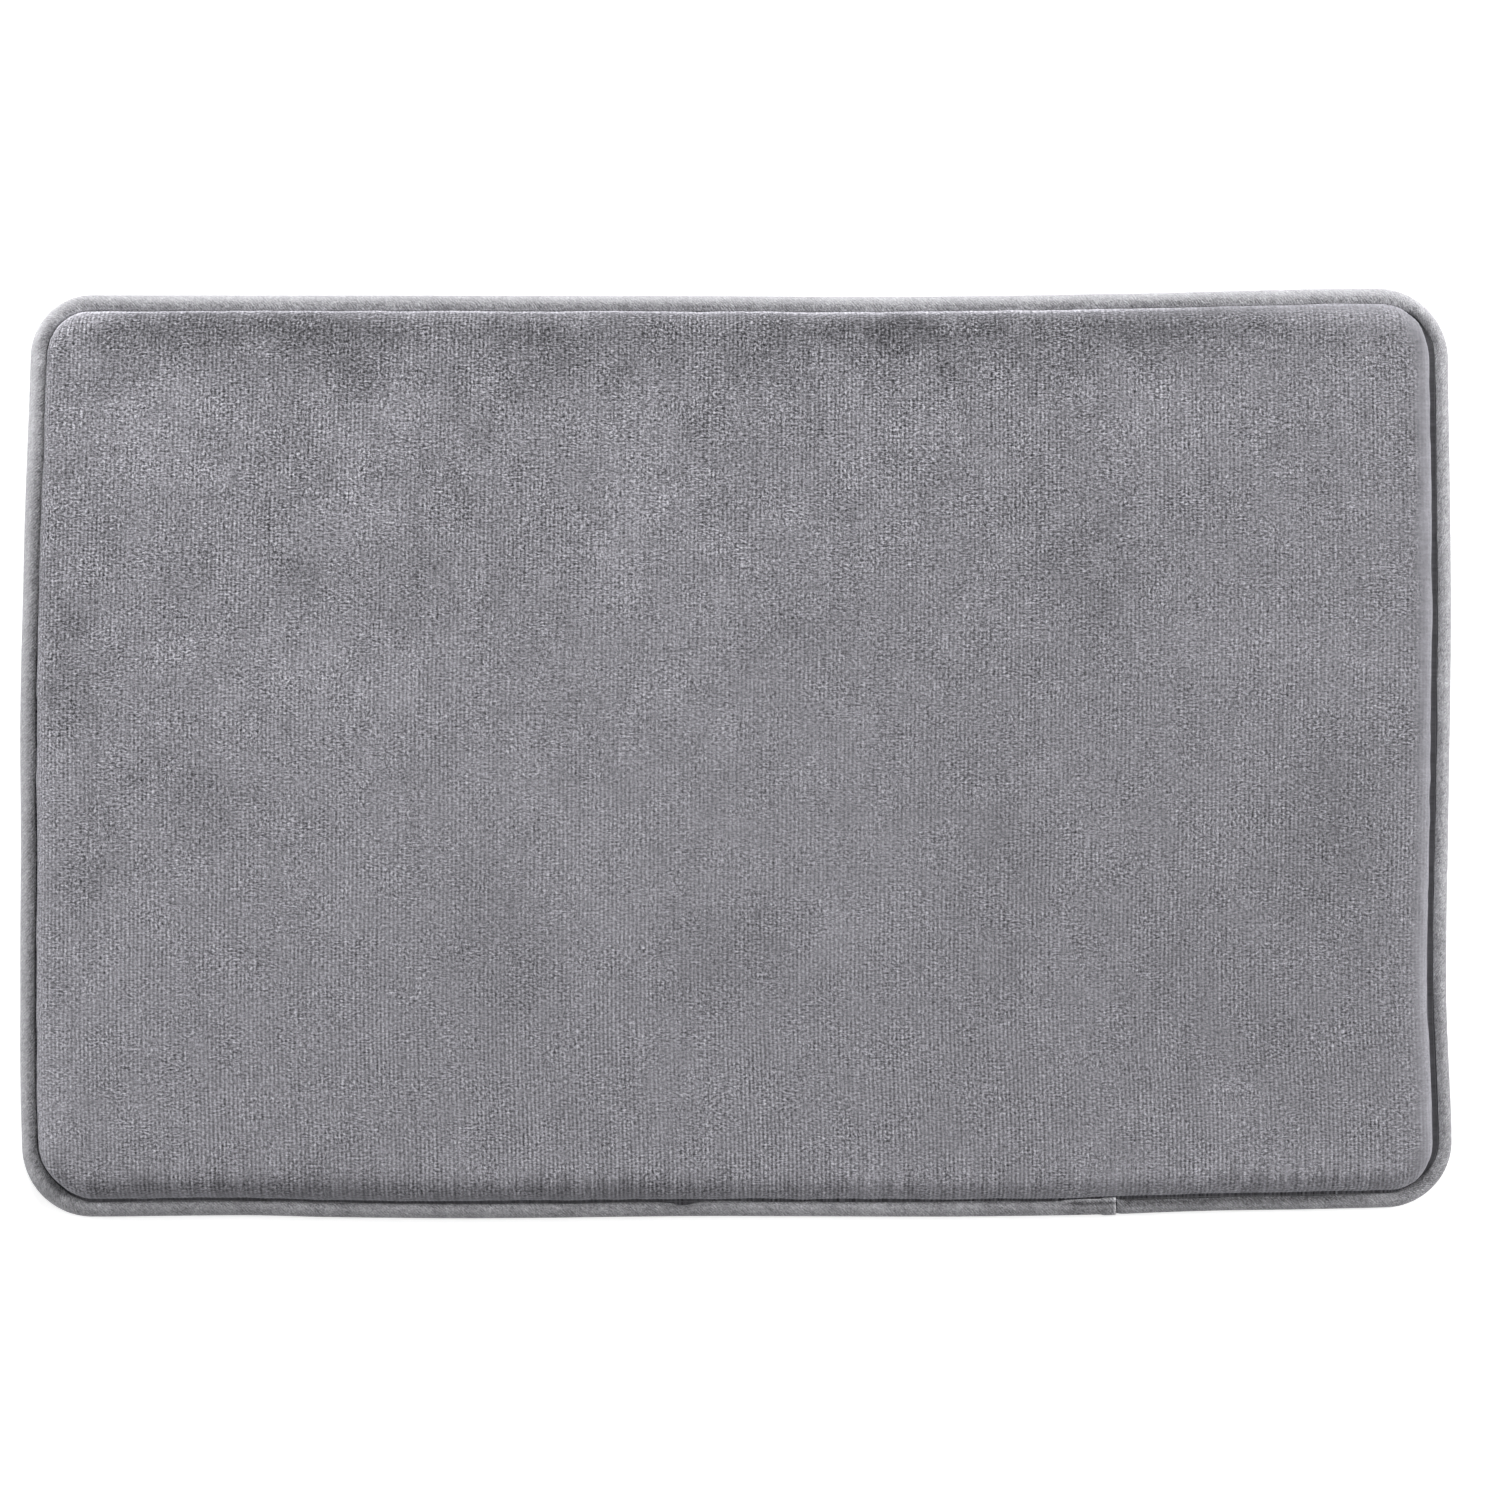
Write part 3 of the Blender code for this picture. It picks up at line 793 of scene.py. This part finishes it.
    # Hidden part: flange into the bead and back under as the inner skin,
    # at a quarter of the rim's points.
    keep = np.arange(0, len(rim), 4)
    flange = [(10.2, 3.9), (7.9, 3.8), (7.0, 3.85), (6.0, 4.1), (5.0, 4.6),
              (3.8, 4.9), (2.7, 4.7), (2.45, 4.45), (2.7, 4.2), (3.9, 4.3),
              (5.0, 3.95), (6.2, 3.4), (7.4, 3.2), (10.9, 3.2)]
    under = superellipse(11.7, 3.9, 26.0, HEIGHT - 3.4, 2.4, 9)
    rings = [tuple(p) for p in flange] + [tuple(p) for p in under]
    all_verts = [verts]
    attr = [np.column_stack([s.ravel(), t.ravel(), depth.ravel()])]
    start = len(verts)
    m = len(keep)
    for d, zz in rings:
        gx = px[keep] - nxr[keep] * (d - D_SEAM)
        gy = py[keep] - nyr[keep] * (d - D_SEAM)
        gx, gy = warp(gx, gy)
        all_verts.append(np.column_stack([gx, gy, np.full(m, zz)]))
        attr.append(np.column_stack([sr[keep], tr[keep],
                                     np.full(m, 0.0)]))
    for k in range(m):
        a, b = start + k, start + (k + 1) % m
        fine = [int(rim[(4 * k + q) % len(rim)]) for q in range(5)]
        faces.append([a, b] + fine[::-1])
    for r in range(len(rings) - 1):
        for k in range(m):
            a, b = start + r * m + k, start + r * m + (k + 1) % m
            faces.append([a + m, b + m, b, a])
    last = start + (len(rings) - 1) * m
    faces.append([last + k for k in range(m)][::-1])

    obj = make_object("cover_pile", np.concatenate(all_verts), faces)
    attr = np.concatenate(attr)
    put_vector(obj, "pile", attr)
    nap_and_painted_light = nap_and_painted_light_field(attr[:, 0], attr[:, 1])
    # Painted highlight where the pile crowds the tape at the back; painted
    # shade in the seam's crease, softer down the left side, and on the
    # turned-in edge.
    dep = attr[:, 2]
    _, nxa, nya = rounded_depth(attr[:, 0], attr[:, 1], hs, ht, radii)
    full = fullness(nxa, nya)
    slack = slackness(nxa, nya)
    left = np.clip(-nxa, 0, 1) ** 2
    nap_and_painted_light += (0.56 * (1 - 0.62 * smooth((attr[:, 0] - 190) / 130)) * full
            * np.exp(-((dep - 4.3) / 1.7) ** 2))
    far_left = left * smooth((attr[:, 1] - 20) / 150)
    low_right = np.clip(nxa * 1.5, 0, 1) * np.clip(-nya * 2.5, 0, 1)
    nap_and_painted_light -= ((1 - full) * (0.45 - 0.34 * left - 0.10 * far_left - 0.25 * slack
                          - 0.35 * low_right * (1 - slack))
            * np.exp(-(dep / 1.1) ** 2))
    nap_and_painted_light -= (left * 0.06 + far_left * 0.07) * np.exp(-(dep / 7.0) ** 2)
    nap_and_painted_light += (0.045 * slack * smooth((20 - dep) / 8)
            * noise2(attr[:, 0] * 1.6, attr[:, 1], 3.0, 49))
    nap_and_painted_light[start:] = -0.30
    # Rows stand open over the front half: painted shade in the valleys
    # between the rows, lighter on their crests.
    nap_and_painted_light[:start] += ((crest + 0 * s) * smooth((-20 - t) / 110)
                    * (0.018 + 0.032 * smooth((-t - 175) / 50))
                    * smooth(depth / 3)
                    * (1 - 0.7 * smooth((11 - depth) / 4)
                       * smooth((60 - s) / 120))).ravel()
    put_float(obj, "nap_and_painted_light", nap_and_painted_light)
    # How much of the grain shows: little where the pile turns over the right
    # end and its corners, all of it along the front.
    right = smooth((nxa - 0.35) / 0.5)
    back = np.clip(nya, 0, 1)
    rag = 2.2 * noise2(attr[:, 0], attr[:, 1], 7, 47)
    far = 0.06 + 0.28 * smooth((attr[:, 0] - 170) / 120)
    calm = 1 - ((0.70 * right + far * back * (1 - right))
                * smooth((15.5 + 7 * right + rag - dep) / 7.0))
    calm = calm - (0.16 * smooth((attr[:, 0] - 120) / 180)
                   * smooth((attr[:, 1] + 60) / 160))
    calm = calm - 0.30 * np.exp(-(dep / 4.0) ** 2)
    calm = calm - (0.38 * np.clip(-nya, 0, 1) * smooth((12.5 - dep) / 4)
                   * smooth((60 - attr[:, 0]) / 120))
    # Trodden flatter in the middle than towards the ends and the front.
    calm = calm * (1.05 - 0.27 * np.exp(-(attr[:, 0] / 230) ** 2
                                        - (attr[:, 1] / 130) ** 2)
                   + (0.02 - 0.07 * smooth((attr[:, 0] - 40) / 160))
                   * smooth((-50 - attr[:, 1]) / 100))
    put_float(obj, "calm", np.clip(calm, 0.15, 1.3))
    return obj


# =================================================================== binding
BEAD = [(2.6, 0.0), (1.2, .35), (.35, 1.3), (0, 2.7), (0, 4.1), (.35, 5.5),
        (1.15, 6.75), (2.4, 7.65), (4.0, 8.0), (5.6, 7.6), (6.9, 6.7),
        (7.8, 5.5), (8.4, 4.7)]


def build_binding():
    step = 1.6
    gap = 0.35
    u = np.linspace(gap, PERIMETER - gap, int(PERIMETER / step))
    u = np.concatenate([gap + np.arange(0, 6.0, 0.4), u[(u > gap + 6.2)
                        & (u < PERIMETER - gap - 10.2)],
                        PERIMETER - gap - np.arange(0, 10.0, 0.4)[::-1]])
    n = len(u)
    seen = resample(BEAD, 0.62)
    lip = np.array([(10.0, 0.6), (8.8, 0.6), (7.6, 0.6), (6.8, 0.05),
                    (4.6, 0.0)])
    outer = np.vstack([lip, seen])
    inner = np.array([(7.7, 4.3), (6.4, 6.0), (5.3, 6.8), (4.0, 7.15),
                      (2.7, 6.85), (1.6, 6.1), (1.1, 5.2), (.8, 4.0),
                      (.8, 2.9), (1.3, 1.5), (2.7, .82), (6.5, .82),
                      (7.4, 1.4), (10.0, 1.4)])
    sec = np.vstack([outer, inner])
    k_outer, k = len(outer), len(sec)
    across = np.concatenate([[0], np.cumsum(np.hypot(*np.diff(sec,
                                                             axis=0).T))])

    d = np.repeat(sec[None, :, 0], n, 0)
    z = np.repeat(sec[None, :, 1], n, 0)
    uu = u[:, None]
    fx = front_x(uu)
    is_outer = (np.arange(k) < k_outer)[None, :]
    top_half = smooth((z - 3.0) / 4.0)
    inner_half = smooth((d - 3.5) / 4.0) * smooth((z - 3) / 1.5)

    # Uneven roll of the tape.
    high = (1 + 0.035 * noise1(uu, 37, 61) + 0.022 * noise1(uu, 11, 62)
            + 0.012 * noise1(uu, 4.5, 66))
    z = z * np.where(z > 1.5, high, 1.0)
    d = d + (noise1(uu, 26, 63) * 0.28 + noise1(uu, 7, 64) * 0.14
             + noise1(uu, 3.2, 65) * 0.06) * inner_half
    d = d - 0.18 * noise1(uu, 45, 67) * (1 - inner_half) * top_half

    # Bias ripples: shallow diagonal drag lines in the stretched tape.
    drag = np.sin(2 * math.pi * (uu + 0.9 * across[None, :]) / 6.2
                  + 2.5 * noise1(uu, 23, 68))
    drag2 = np.sin(2 * math.pi * (uu - 0.7 * across[None, :]) / 9.7
                   + 3.0 * noise1(uu, 31, 69))
    puff = (0.055 * drag * (0.6 + 0.4 * noise1(uu, 60, 70)) + 0.04 * drag2)
    z = z + puff * top_half * is_outer

    # The tape stands off the pile along the right-hand end.
    _, nor_u = outline(u)
    slack = slackness(nor_u[:, 0:1], nor_u[:, 1:2])
    full = fullness(nor_u[:, 0:1], nor_u[:, 1:2])
    d = d - slack * 1.0 * inner_half
    tall = nor_u[:, 1:2]
    y_u = outline(u)[0][:, 1:2]
    snug = (np.clip(-nor_u[:, 0:1], 0, 1) * smooth((y_u - 20) / 150)
            + np.clip(nor_u[:, 0:1] * 1.5, 0, 1)
            * np.clip(-tall * 2.5, 0, 1) * (1 - slack))
    corner = (np.clip(2 * nor_u[:, 0:1] * tall, 0, 1) ** 1.5
              * (nor_u[:, 0:1] < 0))
    d = (d + (full * 1.0 + snug * 0.9 * (1 - full) + 2.2 * corner)
         * smooth((d - 5.0) / 3.0) * inner_half)
    z = z + full * 0.45 * inner_half

    # Right of the join the tape is rolled further under: its inner half
    # drops into the groove and leaves a second, softer fold.
    roll = smooth(fx / 6.0) * smooth((172 - fx) / 70.0) * (fx > 0)
    z = z - roll * 1.5 * smooth((d - 3.4) / 3.6) * smooth((z - 3) / 1.5)
    crease = np.exp(-((d - 6.0) / 0.6) ** 2) * smooth((z - 3) / 1.5)
    z = z - roll * 0.35 * crease
    d = d - roll * 0.6 * smooth((d - 2.0) / 2.0) * top_half

    # Slack twist left of the middle of the front edge.
    twist = bump(fx - 0.9 * d, -248, 13)
    z = z - twist * 1.7 * inner_half + twist * 0.35 * (1 - inner_half) * top_half
    d = d - twist * 1.3 * smooth((d - 5.5) / 2.5) * inner_half
    slip = bump(fx, -295, 34) + bump(fx, -250, 16) * 0.6
    d = d - slip * 0.7 * inner_half

    # The tape's finishing end is turned in and laps over the start.
    lap = smooth((fx + 9.0) / 2.5) * (fx < 0)
    z = z + lap * 0.75 * top_half * is_outer
    d = d - lap * 0.55 * (1 - inner_half) * smooth((z - 0.6) / 1.5) * is_outer
    d = d + lap * 0.5 * inner_half * is_outer
    # For the last stretch its inner edge stands up as a thin ridge, whose
    # highlight is painted in the shade below.
    ridge = smooth((fx + 36) / 16) * (fx < 0) * smooth((z - 3) / 1.0)
    tip = smooth((d - 7.3) / 0.6) * is_outer
    d = d + ridge * 0.9 * tip
    z = z + ridge * 1.2 * tip
    z = z - ridge * 1.1 * np.exp(-((d - 6.6) / 0.6) ** 2) * is_outer
    hem = np.exp(-((fx + 2.4) / 0.7) ** 2)
    z = z - 0.45 * hem * top_half * is_outer
    pinch = np.exp(-(fx / 1.8) ** 2)
    z = z - pinch * 0.7 * top_half * is_outer * (fx > 0)
    d = d + pinch * 0.45 * (1 - inner_half) * smooth((z - 0.6) / 1.5) * (fx > 0)

    pos, nor = outline(u)
    x = pos[:, 0:1] - nor[:, 0:1] * d
    y = pos[:, 1:2] - nor[:, 1:2] * d
    x, y = warp(x, y)
    z = np.maximum(z, 0.0)
    verts = np.column_stack([x.ravel(), y.ravel(), z.ravel()])
    faces = strip_faces(n, k, False, True)
    faces.append(list(range(k))[::-1])
    faces.append([(n - 1) * k + i for i in range(k)])
    obj = make_object("binding_tape", verts, faces, 60)
    front = np.clip(-nor[:, 1:2], 0, 1)
    right = np.clip(nor[:, 0:1], 0, 1)
    left = np.clip(-nor[:, 0:1], 0, 1) ** 2
    # shade is painted light and shade with some patchy tone. Painted shade: where the tape
    # rolls into the groove right of the join, along its inner edge, in the twist, on the
    # lower outer wall at the back and left, on the outer half along the front and on the
    # inner half at the front right corner. Painted highlight: on the inner half along the
    # right and front, at the back's inner edge, along the upper left and the back left
    # corner, on the lap's end and on the ridge's tip, with painted shade in the crease
    # below it. The noise terms and the patches down the right are the tape's own tone; it
    # is also lighter along the middle of the front, darker towards the front's right end,
    # at the front left corner and at the lower right.
    shade = (0.030 * noise1(uu, 90, 71) + 0.045 * noise1(uu, 14, 72)
             * inner_half - 0.27 * roll * inner_half
             + 0.050 * noise1(uu, 8.5, 73) * front
             + (0.14 * right + 0.07 * front) * inner_half
             - 0.06 * front * (1 - inner_half)
             - 0.16 * smooth((d - 7.2) / 0.8)
             * (1 - 0.8 * full - 0.8 * left - 0.5 * slack)
             - 0.06 * left * inner_half - 0.03 * corner
             - 0.15 * np.clip(full + left, 0, 1) * smooth((4.3 - z) / 1.8)
             + 0.10 * full * smooth((d - 7.2) / 0.8)
             + 0.05 * np.clip(-2 * nor[:, 0:1] * nor[:, 1:2], 0, 1)
             * (pos[:, 0:1] < 0)
             + 0.09 * left * smooth((pos[:, 1:2] - 130) / 70)
             + 0.09 * front * bump(fx, -150, 140)
             - 0.05 * front * smooth((fx - 150) / 30) * inner_half
             + right * inner_half
             * (0.07 * bump(pos[:, 1:2], 42, 45) - 0.06 * bump(pos[:, 1:2], -40, 50)
                - 0.07 * bump(pos[:, 1:2], -148, 32)
                + 0.07 * bump(pos[:, 1:2], -184, 20)
                - 0.07 * bump(pos[:, 1:2], 222, 25))
             - 0.05 * right * smooth((-60 - pos[:, 1:2]) / 60)
             - 0.16 * twist * inner_half
             + 0.42 * lap * np.exp(-((fx + 1.0) / 0.8) ** 2)
             + ridge * (0.38 * tip - 0.38 * np.exp(-((d - 6.6) / 0.7) ** 2)
                        - 0.06)
             - 0.10 * inner_half * np.clip(-2 * nor[:, 0:1] * nor[:, 1:2], 0, 1)
             * (pos[:, 0:1] > 0)
             ) + 0 * d
    fuzz = (0.55 + 0.75 * inner_half + 0.35 * front * (1 - inner_half)
            + 0.35 * right * (1 - inner_half))
    put_vector(obj, "tape", np.column_stack([
        np.repeat(u, k), np.tile(across, n), shade.ravel()]))
    put_float(obj, "fuzz", (fuzz + 0 * d).ravel())
    return obj


# ==================================================================== stitches
def build_seam(name, d, z_mid, lift, radius, side):
    """One continuous thread whose stitches dive through the layers.

    side +1: stitches show on top; -1: they show below.
    """
    stitch, per, sides = 3.0, 5, 6
    count = int((PERIMETER - 4) / stitch)
    u = 2.0 + np.arange(count * per + 1) * (stitch / per)
    f = (u - 2.0) / stitch % 1.0
    arch = np.sin(math.pi * f) ** 0.55
    wob = 0.10 * noise1(u, 7, 81) + 0.05 * noise1(u, 2.5, 82)
    z = z_mid + side * (lift * arch - lift * 0.45)
    z = z + 0.04 * noise1(u, 3, 83)
    cen = place(u, d + wob, z)
    tan = np.gradient(cen, axis=0)
    tan /= np.linalg.norm(tan, axis=1)[:, None]
    sidev = np.cross(tan, [0, 0, 1.0])
    sidev /= np.linalg.norm(sidev, axis=1)[:, None]
    upv = np.cross(sidev, tan)
    a = np.arange(sides) / sides * 2 * math.pi
    verts = (cen[:, None, :]
             + radius * (np.cos(a)[None, :, None] * sidev[:, None, :]
                         + np.sin(a)[None, :, None] * upv[:, None, :]))
    n = len(u)
    faces = strip_faces(n, sides, False, True, flip=True)
    faces.append(list(range(sides)))
    faces.append([(n - 1) * sides + i for i in range(sides)][::-1])
    obj = make_object(name, verts.reshape(-1, 3), faces)
    put_vector(obj, "tape", np.column_stack([
        np.repeat(u, sides), np.tile(a * radius, n), np.zeros(n * sides)]))
    return obj


# ================================================================ inner layers
def build_foam():
    lower = [(14.0, 1.9), (12.0, 2.6), (6.7, 2.55), (5.3, 2.0), (3.4, 2.0),
             (2.8, 2.3), (2.5, 3.0), (2.8, 3.7), (4.0, 3.95), (5.0, 3.65),
             (6.2, 3.1), (7.4, 2.9), (10.7, 2.9), (11.8, 3.3)]
    upper = superellipse(12.2, 3.9, 26.5, HEIGHT - 3.9, 2.3, 14)
    return lay_up("foam_slab", lower + [tuple(p) for p in upper], 4.0)


def build_base():
    pts = [(14.6, 1.05), (13.6, 1.05), (12.6, 1.35), (11.6, 1.7), (7.1, 1.7),
           (6.4, 1.4), (5.7, 1.1), (3.0, 1.1), (2.95, 1.35), (3.0, 1.6),
           (5.5, 1.6), (6.2, 1.9), (6.9, 2.2), (11.8, 2.2), (12.8, 1.9),
           (13.8, 1.55), (14.8, 1.55)]
    return lay_up("base_cloth", pts, 2.5)


LABEL_X, LABEL_W, LABEL_L, LABEL_D = -300.0, 22.0, 41.0, 9.0


def build_dots():
    pitch = 10.5
    dy = pitch * math.sqrt(3) / 2
    pts = []
    rows = int(WIDTH / dy) + 2
    for j in range(-rows // 2, rows // 2 + 1):
        for i in range(-60, 61):
            pts.append((i * pitch + (j % 2) * pitch / 2, j * dy))
    p = np.array(pts)
    depth, _, _ = rounded_depth(p[:, 0], p[:, 1], HX, HY,
                                (R_FR, R_BR, R_BL, R_FL))
    ok = depth > 16.0
    y0 = HY - LABEL_D - LABEL_L - 4
    ok &= ~((np.abs(p[:, 0] - LABEL_X) < LABEL_W / 2 + 4) & (p[:, 1] > y0))
    p = p[ok]
    rng = np.random.RandomState(9)
    p = p + rng.uniform(-0.15, 0.15, p.shape)
    x, y = warp(p[:, 0], p[:, 1])
    size = 1 + rng.uniform(-0.05, 0.05, len(p))
    sides = 8
    a = np.arange(sides) / sides * 2 * math.pi
    shape = [(2.0, 1.10), (1.85, 0.45), (1.15, 0.0)]
    verts = []
    for r, z in shape:
        ring = np.stack([x[:, None] + r * size[:, None] * np.cos(a),
                         y[:, None] + r * size[:, None] * np.sin(a),
                         np.full((len(p), sides), z)], -1)
        verts.append(ring)
    verts = np.concatenate(verts, 1).reshape(-1, 3)        # per dot: 3 rings
    faces = []
    for k in range(len(p)):
        o = k * 3 * sides
        for ring in (0, 1):
            for i in range(sides):
                j = (i + 1) % sides
                b = o + ring * sides
                faces.append((b + i, b + sides + i, b + sides + j, b + j))
        faces.append([o + i for i in range(sides)])
        faces.append([o + 2 * sides + i for i in range(sides)][::-1])
    return make_object("grip_dot_field", verts, faces, 60)


def build_label():
    nx, ny = 13, 25
    gx = np.linspace(-0.5, 0.5, nx) * LABEL_W
    gy = np.linspace(0, 1, ny)
    x, q = np.meshgrid(gx, gy)
    # Rounded free corners.
    over = np.maximum(q * LABEL_L - (LABEL_L - 2.0), 0)
    x = x * (1 - 0.10 * (over / 2.0) ** 2)
    y = HY - LABEL_D - q * LABEL_L
    low = 0.12 + 0.10 * smooth(q * 3) + 0.16 * np.sin(q * 9 + x * 0.15) ** 2 * smooth(q * 2)
    wx, wy = warp(x + LABEL_X, y)
    t = 0.2
    bottom = np.stack([wx, wy, low], -1).reshape(-1, 3)
    top = bottom + [0, 0, t]
    m = nx * ny
    faces = strip_faces(ny, nx, False, False)
    faces += [[m + i for i in f[::-1]] for f in faces]
    idx = np.arange(m).reshape(ny, nx)
    rim = np.concatenate([idx[0, :-1], idx[:-1, -1], idx[-1, :0:-1],
                          idx[:0:-1, 0]])
    for a, b in zip(rim, np.roll(rim, -1)):
        faces.append([int(b), int(a), int(a) + m, int(b) + m])
    return make_object("care_tag", np.concatenate([bottom, top]), faces, 40)


# ====================================================================== build
def fix_normals(obj):
    import bmesh
    bm = bmesh.new()
    bm.from_mesh(obj.data)
    bmesh.ops.recalc_face_normals(bm, faces=bm.faces)
    bm.to_mesh(obj.data)
    bm.free()


cover = build_cover()
binding = build_binding()
needle = build_seam("needle_stitches", 8.15, 5.0, 0.55, 0.15, +1)
bobbin = build_seam("bobbin_stitches", 7.95, 0.42, 0.45, 0.16, -1)
foam = build_foam()
base = build_base()
dots = build_dots()
label = build_label()

PIECES = [
    (cover, pile_material(), "pile_fabric", "top_cover"),
    (binding, tape_material("binding_tape", TAPE_COLOUR, 0.45),
     "binding_tape", "edge_binding"),
    (needle, thread_material(), "thread", "needle_thread"),
    (bobbin, None, "thread", "bobbin_thread"),
    (foam, foam_material(), "foam", "foam_core"),
    (base, cloth_material("base_cloth", (0.27, 0.27, 0.285), 0.0011),
     "base_cloth", "base_fabric"),
    (dots, grip_material(), "grip_pvc", "grip_dots"),
    (label, satin_material(), "label_satin", "care_label"),
]
for piece, mat, slot, node in PIECES:
    fix_normals(piece)
    piece.data.materials.append(mat or needle.data.materials[0])
    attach(piece, "root")
    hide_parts(node)


# ============================================================= floor and light
def build_floor():
    mesh = bpy.data.meshes.new("floor")
    r, z = 30.0, -0.0003
    mesh.from_pydata([(-r, -r, z), (r, -r, z), (r, r, z), (-r, r, z)], [],
                     [(0, 1, 2, 3)])
    obj = bpy.data.objects.new("floor", mesh)
    bpy.context.scene.collection.objects.link(obj)
    n = Nodes("floor_paper")
    n.finish((0.86, 0.86, 0.86), 0.9, specular=0.1)
    # The paper looks white but gives the mat no light of its own.
    n.shader.inputs["Emission Color"].default_value = (1, 1, 1, 1)
    # Further out it is white right to the horizon.
    x, y, _ = n.split(n.add("NewGeometry").outputs["Position"])
    far = n.math("SQRT", n.math("ADD", n.math("MULTIPLY", x, x),
                                n.math("MULTIPLY", y, y)))
    glow = n.remap(far, 0.65, 2.2, 0.46, 1.0)
    n.link(n.math("MULTIPLY", n.add("LightPath").outputs["Is Camera Ray"],
                  glow), n.shader.inputs["Emission Strength"])
    mesh.materials.append(n.mat)


def soft_light(name, place_at, aim, size, power, colour=(1, 1, 1)):
    from mathutils import Vector
    lamp = bpy.data.lights.new(name, "AREA")
    lamp.shape = "RECTANGLE"
    lamp.size, lamp.size_y = size
    lamp.energy = power
    lamp.color = colour
    obj = bpy.data.objects.new(name, lamp)
    obj.location = place_at
    way = Vector(aim) - Vector(place_at)
    obj.rotation_euler = way.to_track_quat("-Z", "Y").to_euler()
    obj.visible_camera = False
    bpy.context.scene.collection.objects.link(obj)
    return obj


build_floor()
# Product light: a long low bank behind, low banks at both ends, a weak one
# overhead and nothing in front.
soft_light("bank_back", (0, 2.23, 0.90), (0, 0, 0), (2.2, 0.6), 92)
soft_light("bank_left", (-2.32, 0, 0.62), (0, 0, 0), (1.6, 0.5), 41)
soft_light("bank_right", (2.32, 0, 0.62), (0, 0, 0), (1.6, 0.5), 24)
soft_light("fill_right", (1.83, 0.16, 1.54), (0, 0, 0), (1.6, 0.9), 24)
soft_light("overhead", (0.0, 0.05, 3.0), (0, 0, 0), (2.6, 2.2), 23)

world = bpy.data.worlds.new("studio")
world.use_nodes = True
tree = world.node_tree
room = tree.nodes["Background"]
room.inputs[0].default_value = (0.95, 0.97, 1, 1)
room.inputs[1].default_value = 0.05
paper = tree.nodes.new("ShaderNodeBackground")
paper.inputs[0].default_value = (1, 1, 1, 1)
paper.inputs[1].default_value = 1.0
pick = tree.nodes.new("ShaderNodeMixShader")
seen = tree.nodes.new("ShaderNodeLightPath")
tree.links.new(seen.outputs["Is Camera Ray"], pick.inputs[0])
tree.links.new(room.outputs[0], pick.inputs[1])
tree.links.new(paper.outputs[0], pick.inputs[2])
tree.links.new(pick.outputs[0], tree.nodes["World Output"].inputs[0])
bpy.context.scene.world = world

# Straight down; the frame is 1500 pixels wide and the mat 1428 of them.
SCALE = 0.8003 / 1428.6
camera_data = bpy.data.cameras.new("camera")
camera_data.lens = 85
camera_data.sensor_width = 36
camera_data.clip_end = 200
camera = bpy.data.objects.new("camera", camera_data)
camera.location = (14.5 * SCALE, 4.5 * SCALE, 0.004 + 1500 * SCALE * 85 / 36)
bpy.context.scene.collection.objects.link(camera)
bpy.context.scene.camera = camera
bpy.context.scene.view_settings.view_transform = "Standard"
bpy.context.scene.view_settings.look = "None"
